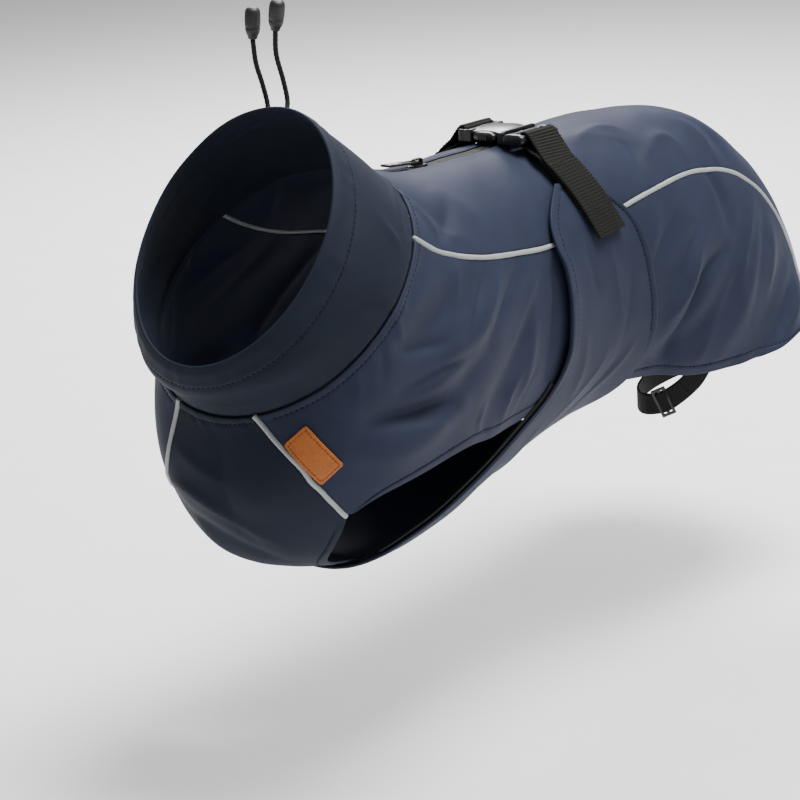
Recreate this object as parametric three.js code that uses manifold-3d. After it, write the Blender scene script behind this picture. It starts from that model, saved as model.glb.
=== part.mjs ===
// Dog raincoat in its worn shape: a hollow coat of softshell cloth with a stand collar, a belly
// flap that comes up both flanks, a webbing strap with a side release buckle, a zip slit along the
// back, elastic leg loops, reflective piping and a drawcord in the collar.
//
// Units are millimetres, +Z is up, the neck points to -Y and the wearer's left is +X. The origin is
// on the inside of the back, on the centre line, under the buckle, where the wearer carries it.
import * as THREE from "three";
import { mergeVertices } from "three/addons/utils/BufferGeometryUtils.js";
import Module from "manifold-3d";

// Cloth and clearances
const CLOTH = 1.6; // wall of a panel
const FLAP_CLOTH = 1.5; // wall of the belly flap
const SEAM = 0.3; // space between neighbouring pieces
const PIPING_RADIUS = 1.4;
const PIPING_SINK = 0.5; // how far the piping's centre lies under the panels' outer face
const FLAP_LIFT = 1.9; // the flap's inner face above the panels' outer face
const BAND_LIFT = 0.25; // the elastic band's inner face above the panels' outer face
const BAND_THICK = 1.0;
const BAND_OUT = 10.5; // how far the elastic band stands out from the flap's front edge
const BAND_UNDER = 3; // how far it runs in under the flap
const CHANNEL_END = 0.72; // ring number where the collar's cord channel ends
const CHANNEL_SWELL = 0.5; // the doubled channel stands this far out of the collar
const CHANNEL_THICK = 2.6;

// Strap and buckle
const WEBBING_WIDTH = 25;
const WEBBING_THICK = 1.4;
const WEBBING_LIFT = 3.8; // the lower layer's inner face above the panels' outer face
const BUCKLE = { length: 46, width: 33, height: 9, x: 3.5, y: -2, z: 7 };
const SOCKET_LENGTH = 32;
const BUCKLE_WALL = 1.8;

// Zip
const ZIP_START = 2.34; // ring numbers of the slit's ends
const ZIP_END = 6.42;
const ZIP_HALF_SLIT = 5.5;
const ZIP_HALF_TAPE = 9.5;
const TAPE_THICK = 1.2;
const SLIDER = { width: 7.6, length: 11, height: 2.4, y: -76 };
const PULL = { width: 6.4, length: 26, thick: 1.2, barDepth: 1.2, windowHalf: 2.1, windowLength: 4.6 };
const CROWN = { half: 4, height: 3.4, wall: 0.8, width: 2.4 };

// Cords and leg loops
const CORD_RADIUS = 1.3;
const CORD_END = { length: 16, radius: 4, neck: 2.2 };
const LOOP_WIDTH = 13;
const LOOP_THICK = 1.4;

// The coat's rings, from the collar's rim to the tail: each ring is a flat superellipse given by its
// top and bottom points in the centre plane, its half width and its squareness.
const RINGS = [
  { name: "rim", topY: -177, topZ: 50, lowY: -257, lowZ: -62, half: 59, square: 2.0 },
  { name: "collar", topY: -153, topZ: 31, lowY: -255, lowZ: -77, half: 71, square: 2.0 },
  { name: "seam", topY: -132, topZ: 13, lowY: -241, lowZ: -92, half: 77, square: 2.0 },
  { name: "breast", topY: -104, topZ: 4, lowY: -247, lowZ: -139, half: 78, square: 2.1 },
  { name: "shoulder", topY: -76, topZ: 1, lowY: -219, lowZ: -176, half: 79, square: 2.2 },
  { name: "leg", topY: -48, topZ: 1, lowY: -154, lowZ: -190, half: 73.5, square: 2.2 },
  { name: "elbow", topY: -22, topZ: 1.5, lowY: -74, lowZ: -174, half: 66.5, square: 2.2 },
  { name: "girth", topY: 4, topZ: 1.6, lowY: 9, lowZ: -160, half: 64, square: 2.2 },
  { name: "loin", topY: 52, topZ: 3, lowY: 58, lowZ: -168, half: 68.5, square: 2.2 },
  { name: "hip", topY: 102, topZ: 2, lowY: 88, lowZ: -188, half: 73.5, square: 2.2 },
  { name: "rump", topY: 150, topZ: -5, lowY: 96, lowZ: -204, half: 76, square: 2.2 },
  { name: "croup", topY: 187, topZ: -28, lowY: 96, lowZ: -208, half: 78, square: 2.2 },
  { name: "tail", topY: 215, topZ: -61, lowY: 92, lowZ: -200, half: 79, square: 2.2 },
  { name: "seat", topY: 231, topZ: -99, lowY: 84, lowZ: -184, half: 82, square: 2.2 },
  { name: "end", topY: 239, topZ: -139, lowY: 78, lowZ: -168, half: 88, square: 2.2 },
];

// The side piping's angle from the top, one row for each ring from the collar seam to the tail
const SIDE_PIPING = [
  { ring: "seam", deg: 60 },
  { ring: "breast", deg: 56 },
  { ring: "shoulder", deg: 55.5 },
  { ring: "leg", deg: 57.5 },
  { ring: "elbow", deg: 63 },
  { ring: "girth", deg: 63.5 },
  { ring: "loin", deg: 57 },
  { ring: "hip", deg: 50.5 },
  { ring: "rump", deg: 50.5 },
  { ring: "croup", deg: 51.5 },
  { ring: "tail", deg: 57 },
  { ring: "seat", deg: 61 },
  { ring: "end", deg: 63 },
];
const PIPING_FIRST = 2;
const COAT_END = 13.62; // ring number of the back panel's tail hem

// The chest piping from the collar seam to the leg opening, left and right
const CHEST_PIPING = [
  { at: 2.0, left: 160.5, right: 159.5 },
  { at: 2.5, left: 147.5, right: 156 },
  { at: 2.95, left: 138, right: 152 },
  { at: 3.35, left: 135, right: 145 },
  { at: 3.7, left: 134.5, right: 134.5 },
];

// The side panel's ribs behind the leg opening's corner: from the side piping down to the hem
const HEM_RIBS = [
  { piping: 3.65, hem: 3.7, deg: 134.5 },
  { piping: 3.82, hem: 3.76, deg: 127.5 },
  { piping: 4.05, hem: 3.92, deg: 121 },
  { piping: 4.4, hem: 4.25, deg: 114 },
  { piping: 4.85, hem: 4.75, deg: 108.5 },
  { piping: 5.3, hem: 5.3, deg: 109 },
  { piping: 5.8, hem: 5.85, deg: 114 },
  { piping: 6.4, hem: 6.5, deg: 124 },
  { piping: 7.0, hem: 7.1, deg: 133 },
  { piping: 7.6, hem: 7.6, deg: 136 },
  { piping: 8.2, hem: 8.2, deg: 132 },
  { piping: 9.0, hem: 9.0, deg: 124.5 },
  { piping: 9.9, hem: 9.95, deg: 115.5 },
  { piping: 11.0, hem: 11.35, deg: 106.5 },
  { piping: 12.1, hem: 12.6, deg: 100 },
  { piping: 13.0, hem: 13.25, deg: 92 },
  { piping: COAT_END, hem: 13.48, deg: 80 },
];

// The chest panel's free edge behind the leg opening's corner
const BIB_EDGE = [
  { at: 3.7, deg: 134.5 },
  { at: 3.84, deg: 140.5 },
  { at: 3.98, deg: 147 },
  { at: 4.15, deg: 154 },
  { at: 4.35, deg: 159.5 },
  { at: 4.6, deg: 162 },
  { at: 4.84, deg: 163 },
];

// The belly flap's cross ribs, from the top of a wing to the middle of the belly
const FLAP_RIBS = [
  { name: "wing top", front: 6.32, frontDeg: 41, rear: 6.98, rearDeg: 43.5 },
  { name: "wing shoulder", front: 6.02, frontDeg: 47, rear: 7.36, rearDeg: 57 },
  { name: "wing upper", front: 5.83, frontDeg: 54, rear: 7.56, rearDeg: 66 },
  { name: "wing", front: 5.85, frontDeg: 63, rear: 7.64, rearDeg: 76 },
  { name: "wing middle", front: 6.0, frontDeg: 73, rear: 7.68, rearDeg: 86 },
  { name: "wing lower", front: 6.12, frontDeg: 86, rear: 7.72, rearDeg: 98 },
  { name: "flank", front: 6.2, frontDeg: 99, rear: 7.74, rearDeg: 110 },
  { name: "flank low", front: 6.16, frontDeg: 110, rear: 7.68, rearDeg: 122 },
  { name: "belly side", front: 6.0, frontDeg: 116.5, rear: 7.52, rearDeg: 133 },
  { name: "belly turn", front: 5.7, frontDeg: 121.5, rear: 7.32, rearDeg: 143 },
  { name: "belly", front: 5.35, frontDeg: 125.5, rear: 7.12, rearDeg: 152 },
  { name: "belly front", front: 5.05, frontDeg: 131, rear: 6.99, rearDeg: 161 },
  { name: "between legs", front: 4.8, frontDeg: 143, rear: 6.93, rearDeg: 169 },
  { name: "strip", front: 4.68, frontDeg: 159, rear: 6.9, rearDeg: 175 },
  { name: "middle", front: 4.66, frontDeg: 180, rear: 6.9, rearDeg: 180 },
];
const BAND_FIRST_RIB = 7; // the elastic band starts at the low flank
const BAND_LAST_RIB = 12.6;

// Largest folds: each runs from one point of the coat to another, with its half width and its
// height above the cloth (a trough is negative) in millimetres.
const FOLDS = [
  { name: "skirt trough", from: 10.05, fromDeg: 82, to: 7.95, toDeg: 124, width: 11, height: -5.5 },
  { name: "skirt ridge", from: 8.7, fromDeg: 72, to: 8.15, toDeg: 108, width: 10, height: 3 },
  { name: "skirt rear ridge", from: 10.6, fromDeg: 70, to: 9.7, toDeg: 108, width: 12, height: 3.5 },
  { name: "skirt rear trough", from: 11.7, fromDeg: 68, to: 11.2, toDeg: 99, width: 10, height: -2.5 },
  { name: "withers trough", from: 2.3, fromDeg: 30, to: 3.3, toDeg: 48, width: 7, height: -2.5 },
  { name: "withers ridge", from: 3.1, fromDeg: 22, to: 3.9, toDeg: 42, width: 9, height: 2 },
  { name: "drape trough", from: 3.7, fromDeg: 64, to: 2.6, toDeg: 92, width: 9, height: -3 },
  { name: "drape ridge", from: 4.4, fromDeg: 66, to: 3.4, toDeg: 98, width: 10, height: 2.5 },
  { name: "shoulder trough", from: 4.5, fromDeg: 84, to: 2.9, toDeg: 112, width: 8, height: -3.5 },
  { name: "shoulder ridge", from: 4.3, fromDeg: 96, to: 3.0, toDeg: 122, width: 9, height: 3 },
  { name: "elbow trough", from: 5.6, fromDeg: 72, to: 4.9, toDeg: 102, width: 9, height: -3 },
  { name: "rump ridge", from: 9.2, fromDeg: 14, to: 10.2, toDeg: 38, width: 12, height: 2.5 },
  { name: "right skirt trough", from: 9.7, fromDeg: -78, to: 8.2, toDeg: -122, width: 10, height: -5 },
  { name: "right skirt ridge", from: 8.5, fromDeg: -70, to: 8.0, toDeg: -106, width: 10, height: 3 },
  { name: "right rear ridge", from: 10.8, fromDeg: -66, to: 10.2, toDeg: -106, width: 12, height: 3.5 },
  { name: "right drape trough", from: 4.0, fromDeg: -62, to: 2.8, toDeg: -88, width: 10, height: -3 },
  { name: "right shoulder trough", from: 4.2, fromDeg: -88, to: 2.8, toDeg: -116, width: 8, height: -3 },
  { name: "right shoulder ridge", from: 4.6, fromDeg: -98, to: 3.3, toDeg: -120, width: 9, height: 3 },
];

// The strap's centre line over the left flank: ring number, angle and lift over the lower layer
const STRAP = [
  { at: 6.68, deg: 22.4, rise: 3.2 },
  { at: 6.71, deg: 25.5, rise: 2.2 },
  { at: 6.76, deg: 32, rise: 0.7 },
  { at: 6.82, deg: 42, rise: 0 },
  { at: 6.92, deg: 56, rise: 0 },
  { at: 7.02, deg: 69, rise: 0.3 },
];
const TAIL_END_ROW = 5;
const LOWER_END_ROW = 4.3; // the lower layer is sewn down here
const LOOP_END_ROW = 1.7; // the short doubled end on the right

// The zip's pull is shown lying on the zip, its free end a little raised
const PULL_TILT_DEG = 5.5;

// Leather label on the left side panel, at the chest piping: its four corners
const LABEL = [
  { corner: "upper inner", at: 2.47, deg: 145.2 },
  { corner: "upper outer", at: 2.33, deg: 137 },
  { corner: "lower outer", at: 2.95, deg: 126 },
  { corner: "lower inner", at: 3.03, deg: 133.2 },
];
const LABEL_LIFT = 0.4;
const LABEL_THICK = 1.2;

// The leg loop's centre line on the wearer's left, in millimetres: from the side hem down in front
// of the thigh, round its inner side and up to the hem again
const LEG_LOOP = [
  { name: "sewn front", x: 63.4, y: 104.3, z: -139 },
  { name: "outer", x: 57, y: 96, z: -155 },
  { name: "slider", x: 46, y: 85, z: -166 },
  { name: "front", x: 31, y: 83, z: -170 },
  { name: "inner front", x: 19, y: 95, z: -169 },
  { name: "inner", x: 16, y: 115, z: -165 },
  { name: "inner rear", x: 27, y: 138, z: -158 },
  { name: "rear", x: 47, y: 156, z: -150 },
  { name: "outer rear", x: 65, y: 166, z: -140 },
  { name: "sewn rear", x: 73.9, y: 172.3, z: -128 },
];
const LOOP_SLIDER_AT = 2.1;

// The drawcord's free ends: where each leaves the channel at the nape, and its way up from there
const CORD_EXITS = { at: 0.36, leftDeg: -4.5, rightDeg: -15.5 };
const CORD_LEFT = [
  { x: -7.2, y: -163.8, z: 50.5 },
  { x: -9, y: -164, z: 61 },
  { x: -9, y: -167.5, z: 74 },
  { x: -5.5, y: -170.5, z: 86 },
];
const CORD_RIGHT = [
  { x: -19.5, y: -165.5, z: 47.5 },
  { x: -21.5, y: -166, z: 58 },
  { x: -22.5, y: -168.5, z: 69 },
  { x: -21.5, y: -170.5, z: 81 },
];
const CORD_LEAN_LEFT = { x: 0.3, y: -0.1, z: 1 };
const CORD_LEAN_RIGHT = { x: 0.1, y: 0, z: 1 };

const PANEL_START = 2.014; // panels and collar stop short of the collar seam
const COLLAR_END = 1.982;
const BESIDE = PIPING_RADIUS + 2 * SEAM; // space kept from a piping's centre

// Materials
const cloth = (color) => new THREE.MeshStandardMaterial({ color, roughness: 0.72, metalness: 0 });
const plastic = (color, roughness) => new THREE.MeshStandardMaterial({ color, roughness, metalness: 0 });
const NAVY = 0x333a4c;
const DARK_NAVY = 0x2a303f;
const BLACK = 0x17181a;
const GREY = 0x9aa0a3;
const ORANGE = 0xb8612a;

const coat = new THREE.Group();
coat.name = "dog_raincoat";

// Add one solid to the coat.
function add(name, geometry, material) {
  const mesh = new THREE.Mesh(geometry, material);
  mesh.name = name;
  coat.add(mesh);
  return mesh;
}

// Catmull-Rom value between four neighbours.
function blend(a, b, c, d, f) {
  const bend = (2 * a - 5 * b + 4 * c - d) * f * f;
  const twist = (-a + 3 * b - 3 * c + d) * f * f * f;
  return 0.5 * (2 * b + (c - a) * f + bend + twist);
}

// A table's column at a fractional row, with straight continuation past both ends.
function column(rows, key, t) {
  const last = rows.length - 1;
  const i = Math.min(Math.max(Math.floor(t), 0), last - 1);
  const b = rows[i][key];
  const c = rows[i + 1][key];
  const a = i > 0 ? rows[i - 1][key] : 2 * b - c;
  const d = i + 2 <= last ? rows[i + 2][key] : 2 * c - b;
  return blend(a, b, c, d, t - i);
}

// The bare form at ring number u and angle deg from the top, + to the wearer's left.
function form(u, deg) {
  const topY = column(RINGS, "topY", u);
  const topZ = column(RINGS, "topZ", u);
  const lowY = column(RINGS, "lowY", u);
  const lowZ = column(RINGS, "lowZ", u);
  const power = 2 / column(RINGS, "square", u);
  const turn = THREE.MathUtils.degToRad(deg);
  const across = Math.sign(Math.sin(turn)) * Math.abs(Math.sin(turn)) ** power;
  const upward = Math.sign(Math.cos(turn)) * Math.abs(Math.cos(turn)) ** power;
  const y = (topY + lowY) / 2 + ((topY - lowY) / 2) * upward;
  const z = (topZ + lowZ) / 2 + ((topZ - lowZ) / 2) * upward;
  return new THREE.Vector3(column(RINGS, "half", u) * across, y, z);
}

// The form's two directions at a point (per ring and per degree) and its outward normal.
function frame(u, deg) {
  const alongU = form(u + 0.02, deg).sub(form(u - 0.02, deg)).multiplyScalar(25);
  const alongDeg = form(u, deg + 0.4).sub(form(u, deg - 0.4)).multiplyScalar(1.25);
  const normal = new THREE.Vector3().crossVectors(alongU, alongDeg).normalize().negate();
  return { alongU, alongDeg, normal };
}

// Centre lines of the folds, worked out once.
const FOLD_LINES = FOLDS.map((fold) => {
  const points = [];
  for (let i = 0; i <= 8; i += 1) {
    const t = i / 8;
    points.push(form(
      THREE.MathUtils.lerp(fold.from, fold.to, t),
      THREE.MathUtils.lerp(fold.fromDeg, fold.toDeg, t),
    ));
  }
  return { points, width: fold.width, height: fold.height };
});

// Height of all folds at a point of the form: a soft bell across, fading at both ends.
function foldHeight(point) {
  let height = 0;
  for (const line of FOLD_LINES) {
    let nearest = Infinity;
    let place = 0;
    for (let i = 0; i < line.points.length - 1; i += 1) {
      const a = line.points[i];
      const step = line.points[i + 1].clone().sub(a);
      const along = THREE.MathUtils.clamp(point.clone().sub(a).dot(step) / step.lengthSq(), 0, 1);
      const distance = a.clone().addScaledVector(step, along).distanceTo(point);
      if (distance < nearest) {
        nearest = distance;
        place = (i + along) / (line.points.length - 1);
      }
    }
    const fade = Math.sin(Math.PI * THREE.MathUtils.clamp(0.12 + 0.76 * place, 0, 1));
    height += line.height * fade * Math.exp(-((nearest / line.width) ** 2));
  }
  return height;
}

// A point of the coat, moved out of the panels' outer face by lift.
function lifted(u, deg, lift) {
  const point = form(u, deg);
  const rise = lift + foldHeight(point);
  return point.addScaledVector(frame(u, deg).normal, rise);
}

// A place on the form, moved sideways from a line that heads along (du, ddeg).
function sidestep(place, du, ddeg, distance) {
  let { u, deg } = place;
  const steps = Math.max(1, Math.ceil(Math.abs(distance) / 3));
  for (let i = 0; i < steps; i += 1) {
    const { alongU, alongDeg, normal } = frame(u, deg);
    const heading = alongU.clone().multiplyScalar(du).addScaledVector(alongDeg, ddeg).normalize();
    const side = new THREE.Vector3().crossVectors(normal, heading).multiplyScalar(distance / steps);
    const uu = alongU.dot(alongU);
    const ud = alongU.dot(alongDeg);
    const dd = alongDeg.dot(alongDeg);
    const det = uu * dd - ud * ud;
    u += (alongU.dot(side) * dd - alongDeg.dot(side) * ud) / det;
    deg += (alongDeg.dot(side) * uu - alongU.dot(side) * ud) / det;
  }
  return { u, deg };
}

// A closed solid between an outer and an inner grid of points. Cells can be left out by a test, and
// wrap joins the last column to the first.
function slab(outer, inner, wrap = false, present = () => true) {
  const rows = outer.length;
  const cols = outer[0].length;
  const cells = wrap ? cols : cols - 1;
  const positions = [];
  for (const grid of [outer, inner]) {
    for (const row of grid) {
      for (const point of row) {
        positions.push(point.x, point.y, point.z);
      }
    }
  }
  const half = rows * cols;
  const at = (i, j) => i * cols + (j % cols);
  const has = (i, j) => {
    if (i < 0 || i >= rows - 1) return false;
    const k = wrap ? (j + cells) % cells : j;
    return k >= 0 && k < cells && present(i, k);
  };
  const index = [];
  const quad = (a, b, c, d) => index.push(a, b, c, a, c, d);
  for (let i = 0; i < rows - 1; i += 1) {
    for (let j = 0; j < cells; j += 1) {
      if (!has(i, j)) continue;
      const corners = [at(i, j), at(i, j + 1), at(i + 1, j + 1), at(i + 1, j)];
      quad(...corners);
      quad(...corners.map((corner) => corner + half).reverse());
      const neighbours = [has(i - 1, j), has(i, j + 1), has(i + 1, j), has(i, j - 1)];
      for (let side = 0; side < 4; side += 1) {
        if (neighbours[side]) continue;
        const a = corners[side];
        const b = corners[(side + 1) % 4];
        quad(b, a, a + half, b + half);
      }
    }
  }
  const geometry = new THREE.BufferGeometry();
  geometry.setAttribute("position", new THREE.Float32BufferAttribute(positions, 3));
  geometry.setIndex(facingOut(positions, index));
  return used(geometry);
}

// The triangles with their faces pointing out, judged by the signed volume.
function facingOut(positions, index) {
  const corner = (i) => new THREE.Vector3().fromArray(positions, index[i] * 3);
  let volume = 0;
  for (let i = 0; i < index.length; i += 3) {
    volume += corner(i).dot(new THREE.Vector3().crossVectors(corner(i + 1), corner(i + 2)));
  }
  if (volume > 0) return index;
  const turned = [];
  for (let i = 0; i < index.length; i += 3) {
    turned.push(index[i], index[i + 2], index[i + 1]);
  }
  return turned;
}

// The same geometry without the points that no triangle uses.
function used(geometry) {
  const flat = geometry.toNonIndexed();
  const merged = mergeVertices(flat, 1e-4);
  merged.computeVertexNormals();
  return merged;
}

// A cloth piece from a grid of places on the form.
function clothPiece(places, outerLift, innerLift, wrap = false, present = () => true) {
  const layer = (lift) => places.map((row) => row.map((place) => lifted(place.u, place.deg, lift)));
  return slab(layer(outerLift), layer(innerLift), wrap, present);
}

// Evenly spaced numbers, both ends included.
function spread(from, to, count) {
  return Array.from({ length: count + 1 }, (_, i) => from + ((to - from) * i) / count);
}

// The side piping's place at ring number u, on side +1 or -1.
function sidePiping(u, side) {
  return { u, deg: side * column(SIDE_PIPING, "deg", u - PIPING_FIRST) };
}

// The side piping's place, moved across by distance towards the belly.
function besideSidePiping(u, side, distance) {
  const ahead = sidePiping(u + 0.02, side);
  const back = sidePiping(u - 0.02, side);
  return sidestep(sidePiping(u, side), ahead.u - back.u, ahead.deg - back.deg, -side * distance);
}

// The chest piping's place at fractional row t.
function chestPiping(t, side) {
  const deg = column(CHEST_PIPING, side > 0 ? "left" : "right", t);
  return { u: column(CHEST_PIPING, "at", t), deg: side * deg };
}

// The chest piping's place, moved across by distance towards the flank.
function besideChestPiping(t, side, distance) {
  const ahead = chestPiping(t + 0.02, side);
  const back = chestPiping(t - 0.02, side);
  return sidestep(chestPiping(t, side), ahead.u - back.u, ahead.deg - back.deg, side * distance);
}

// The chest piping's fractional row where the line beside it meets the collar seam.
function chestStart(side, distance) {
  let low = -0.6;
  let high = 0.9;
  for (let i = 0; i < 24; i += 1) {
    const middle = (low + high) / 2;
    if (besideChestPiping(middle, side, distance).u < PANEL_START) low = middle;
    else high = middle;
  }
  return high;
}

// The place at fraction t of the way between two places.
function partWay(a, b, t) {
  return { u: THREE.MathUtils.lerp(a.u, b.u, t), deg: THREE.MathUtils.lerp(a.deg, b.deg, t) };
}

// Places between two places, evenly spaced.
function between(a, b, count) {
  return spread(0, 1, count).map((t) => partWay(a, b, t));
}

// Collar and its cord channel: two tubes, one after the other.
const around = spread(-180, 180, 36).slice(0, -1);
const tube = (rings) => rings.map((u) => around.map((deg) => ({ u, deg })));
add(
  "collar_channel",
  clothPiece(tube(spread(0, CHANNEL_END, 3)), CHANNEL_SWELL, CHANNEL_SWELL - CHANNEL_THICK, true),
  cloth(DARK_NAVY),
);
add(
  "collar",
  clothPiece(tube(spread(CHANNEL_END + 0.02, COLLAR_END, 5)), 0, -CLOTH, true),
  cloth(DARK_NAVY),
);

// Back panel between the side pipings, with the zip's slit in the middle.
const slitRows = spread(ZIP_START, ZIP_END, 9);
const backRows = [PANEL_START, ...slitRows, ...spread(ZIP_END, COAT_END, 20).slice(1)];
const slitDeg = (u) => ZIP_HALF_SLIT / frame(u, 0.5).alongDeg.length();
const backPlaces = backRows.map((u) => {
  const left = besideSidePiping(u, 1, -BESIDE).deg;
  const slit = slitDeg(u);
  const half = spread(slit, left, 7);
  const degrees = [...half.map((deg) => -deg).reverse(), ...half];
  return degrees.map((deg) => ({ u, deg }));
});
const slitCell = (i, j) => !(j === 7 && i >= 1 && i < slitRows.length);
add("back_panel", clothPiece(backPlaces, 0, -CLOTH, false, slitCell), cloth(NAVY));

// Side panels from the side piping down to the chest piping and the hem.
for (const side of [1, -1]) {
  const ribs = [];
  const start = chestStart(side, BESIDE);
  for (const t of spread(0, 1, 8).slice(0, -1)) {
    const row = THREE.MathUtils.lerp(start, CHEST_PIPING.length - 1, t);
    const u = THREE.MathUtils.lerp(PANEL_START, HEM_RIBS[0].piping, t);
    ribs.push([besideSidePiping(u, side, BESIDE), besideChestPiping(row, side, BESIDE)]);
  }
  for (const t of spread(0, HEM_RIBS.length - 1, 28)) {
    const low = { u: column(HEM_RIBS, "hem", t), deg: side * column(HEM_RIBS, "deg", t) };
    if (t === 0) low.deg -= side * 1.8;
    ribs.push([besideSidePiping(column(HEM_RIBS, "piping", t), side, BESIDE), low]);
  }
  const places = ribs.map(([top, low]) => between(top, low, 10));
  add(side > 0 ? "side_panel_left" : "side_panel_right", clothPiece(places, 0, -CLOTH), cloth(NAVY));
}

// Chest panel: the bib between the chest pipings and the strip that runs on between the legs.
const bibRows = [];
for (const t of spread(0, 1, 7)) {
  bibRows.push([1, -1].map((side) => {
    const start = chestStart(side, -BESIDE);
    return besideChestPiping(THREE.MathUtils.lerp(start, CHEST_PIPING.length - 1, t), side, -BESIDE);
  }));
}
for (const t of spread(0, BIB_EDGE.length - 1, 9).slice(1)) {
  const u = column(BIB_EDGE, "at", t);
  const deg = column(BIB_EDGE, "deg", t);
  bibRows.push([{ u, deg }, { u, deg: -deg }]);
}
const bibPlaces = bibRows.map(([left, right]) => between(left, { u: right.u, deg: right.deg + 360 }, 12));
add("chest_panel", clothPiece(bibPlaces, 0, -CLOTH), cloth(DARK_NAVY));

// Belly flap: one wide piece under the belly with a wing up each flank.
const MIDDLE_RIB = FLAP_RIBS.length - 1;
const flapRib = (t) => {
  const side = t <= MIDDLE_RIB ? 1 : -1;
  const row = t <= MIDDLE_RIB ? t : 2 * MIDDLE_RIB - t;
  const turn = side > 0 ? (deg) => deg : (deg) => 360 - deg;
  return {
    front: { u: column(FLAP_RIBS, "front", row), deg: turn(column(FLAP_RIBS, "frontDeg", row)) },
    rear: { u: column(FLAP_RIBS, "rear", row), deg: turn(column(FLAP_RIBS, "rearDeg", row)) },
  };
};
const ACROSS_FLAP = [0, 0.05, 0.15, 0.3, 0.45, 0.6, 0.75, 0.88, 1];
const flapPlaces = spread(0, 2 * MIDDLE_RIB, 2 * MIDDLE_RIB + 24).map((t) => {
  const { front, rear } = flapRib(t);
  return ACROSS_FLAP.map((k) => partWay(front, rear, k));
});
add("belly_flap", clothPiece(flapPlaces, FLAP_LIFT + FLAP_CLOTH, FLAP_LIFT), cloth(NAVY));

// Elastic bands along the flap's front edge, from the low flank down between the legs.
for (const side of [1, -1]) {
  const places = spread(BAND_FIRST_RIB, BAND_LAST_RIB, 18).map((t) => {
    const ahead = { u: column(FLAP_RIBS, "front", t + 0.05), deg: column(FLAP_RIBS, "frontDeg", t + 0.05) };
    const back = { u: column(FLAP_RIBS, "front", t - 0.05), deg: column(FLAP_RIBS, "frontDeg", t - 0.05) };
    const edge = { u: column(FLAP_RIBS, "front", t), deg: side * column(FLAP_RIBS, "frontDeg", t) };
    const start = (t - BAND_FIRST_RIB) / 1.6;
    const out = BAND_OUT * Math.min(1, 0.35 + 0.65 * start);
    const run = [ahead.u - back.u, side * (ahead.deg - back.deg)];
    return [-BAND_UNDER, 0, out / 2, out].map((d) => sidestep(edge, ...run, side * d));
  });
  const name = side > 0 ? "elastic_band_left" : "elastic_band_right";
  add(name, clothPiece(places, BAND_LIFT + BAND_THICK, BAND_LIFT), cloth(BLACK));
}

// A cord of round section along points, with closed ends.
function cord(points, radius, segments, sides) {
  const curve = new THREE.CatmullRomCurve3(points);
  const circle = new THREE.Shape();
  for (let i = 0; i < sides; i += 1) {
    const turn = (2 * Math.PI * i) / sides;
    const move = i === 0 ? "moveTo" : "lineTo";
    circle[move](radius * Math.cos(turn), radius * Math.sin(turn));
  }
  circle.closePath();
  return new THREE.ExtrudeGeometry(circle, { steps: segments, bevelEnabled: false, extrudePath: curve });
}

// Reflective piping in the seams.
for (const side of [1, -1]) {
  const word = side > 0 ? "left" : "right";
  const long = spread(PANEL_START, COAT_END - 0.02, 40).map((u) => {
    const place = sidePiping(u, side);
    return lifted(place.u, place.deg, -PIPING_SINK);
  });
  add(`side_piping_${word}`, cord(long, PIPING_RADIUS, 48, 6), cloth(GREY));
  const short = spread(0.05, CHEST_PIPING.length - 1.12, 10).map((t) => {
    const place = chestPiping(t, side);
    return lifted(place.u, place.deg, -PIPING_SINK);
  });
  add(`chest_piping_${word}`, cord(short, PIPING_RADIUS, 12, 6), cloth(GREY));
}

// Zip: tape under the slit, slider and its crown, and the pull that swings on the crown.
const tapePlaces = spread(ZIP_START - 0.14, ZIP_END + 0.14, 14).map((u) => {
  const half = ZIP_HALF_TAPE / frame(u, 0.5).alongDeg.length();
  return [-half, 0, half].map((deg) => ({ u, deg }));
});
const tapeTop = -CLOTH - SEAM;
add("zip_tape", clothPiece(tapePlaces, tapeTop, tapeTop - TAPE_THICK), cloth(BLACK));

// Outline with rounded corners, centred on the origin.
function roundedBox(width, length, radius) {
  const shape = new THREE.Shape();
  const w = width / 2;
  const l = length / 2;
  shape.moveTo(-w + radius, -l);
  shape.lineTo(w - radius, -l);
  shape.quadraticCurveTo(w, -l, w, -l + radius);
  shape.lineTo(w, l - radius);
  shape.quadraticCurveTo(w, l, w - radius, l);
  shape.lineTo(-w + radius, l);
  shape.quadraticCurveTo(-w, l, -w, l - radius);
  shape.lineTo(-w, -l + radius);
  shape.quadraticCurveTo(-w, -l, -w + radius, -l);
  return shape;
}

const plate = (shape, depth) => new THREE.ExtrudeGeometry(shape, { depth, bevelEnabled: false, curveSegments: 3 });
const zipTop = 1; // the back's outer face at the slider
const sliderFloor = zipTop + tapeTop + SEAM;
const slider = add("zip_slider", plate(roundedBox(SLIDER.width, SLIDER.length, 2.4), SLIDER.height), plastic(0x1c1d1f, 0.35));
slider.position.set(0, SLIDER.y, sliderFloor);

const crownShape = new THREE.Shape();
crownShape.moveTo(-CROWN.half, 0);
crownShape.lineTo(CROWN.half, 0);
crownShape.lineTo(CROWN.half - 0.6, CROWN.height - 0.6);
crownShape.lineTo(CROWN.half - 1.4, CROWN.height);
crownShape.lineTo(-CROWN.half + 1.4, CROWN.height);
crownShape.lineTo(-CROWN.half + 0.6, CROWN.height - 0.6);
crownShape.closePath();
const eye = new THREE.Path();
eye.moveTo(-CROWN.half + 1.1, CROWN.wall);
eye.lineTo(-CROWN.half + 1.4, CROWN.height - CROWN.wall);
eye.lineTo(CROWN.half - 1.4, CROWN.height - CROWN.wall);
eye.lineTo(CROWN.half - 1.1, CROWN.wall);
eye.closePath();
crownShape.holes.push(eye);
const crownGeometry = plate(crownShape, CROWN.width).translate(0, 0, -CROWN.width / 2);
const crown = add("zip_crown", crownGeometry, plastic(0x1c1d1f, 0.35));
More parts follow.
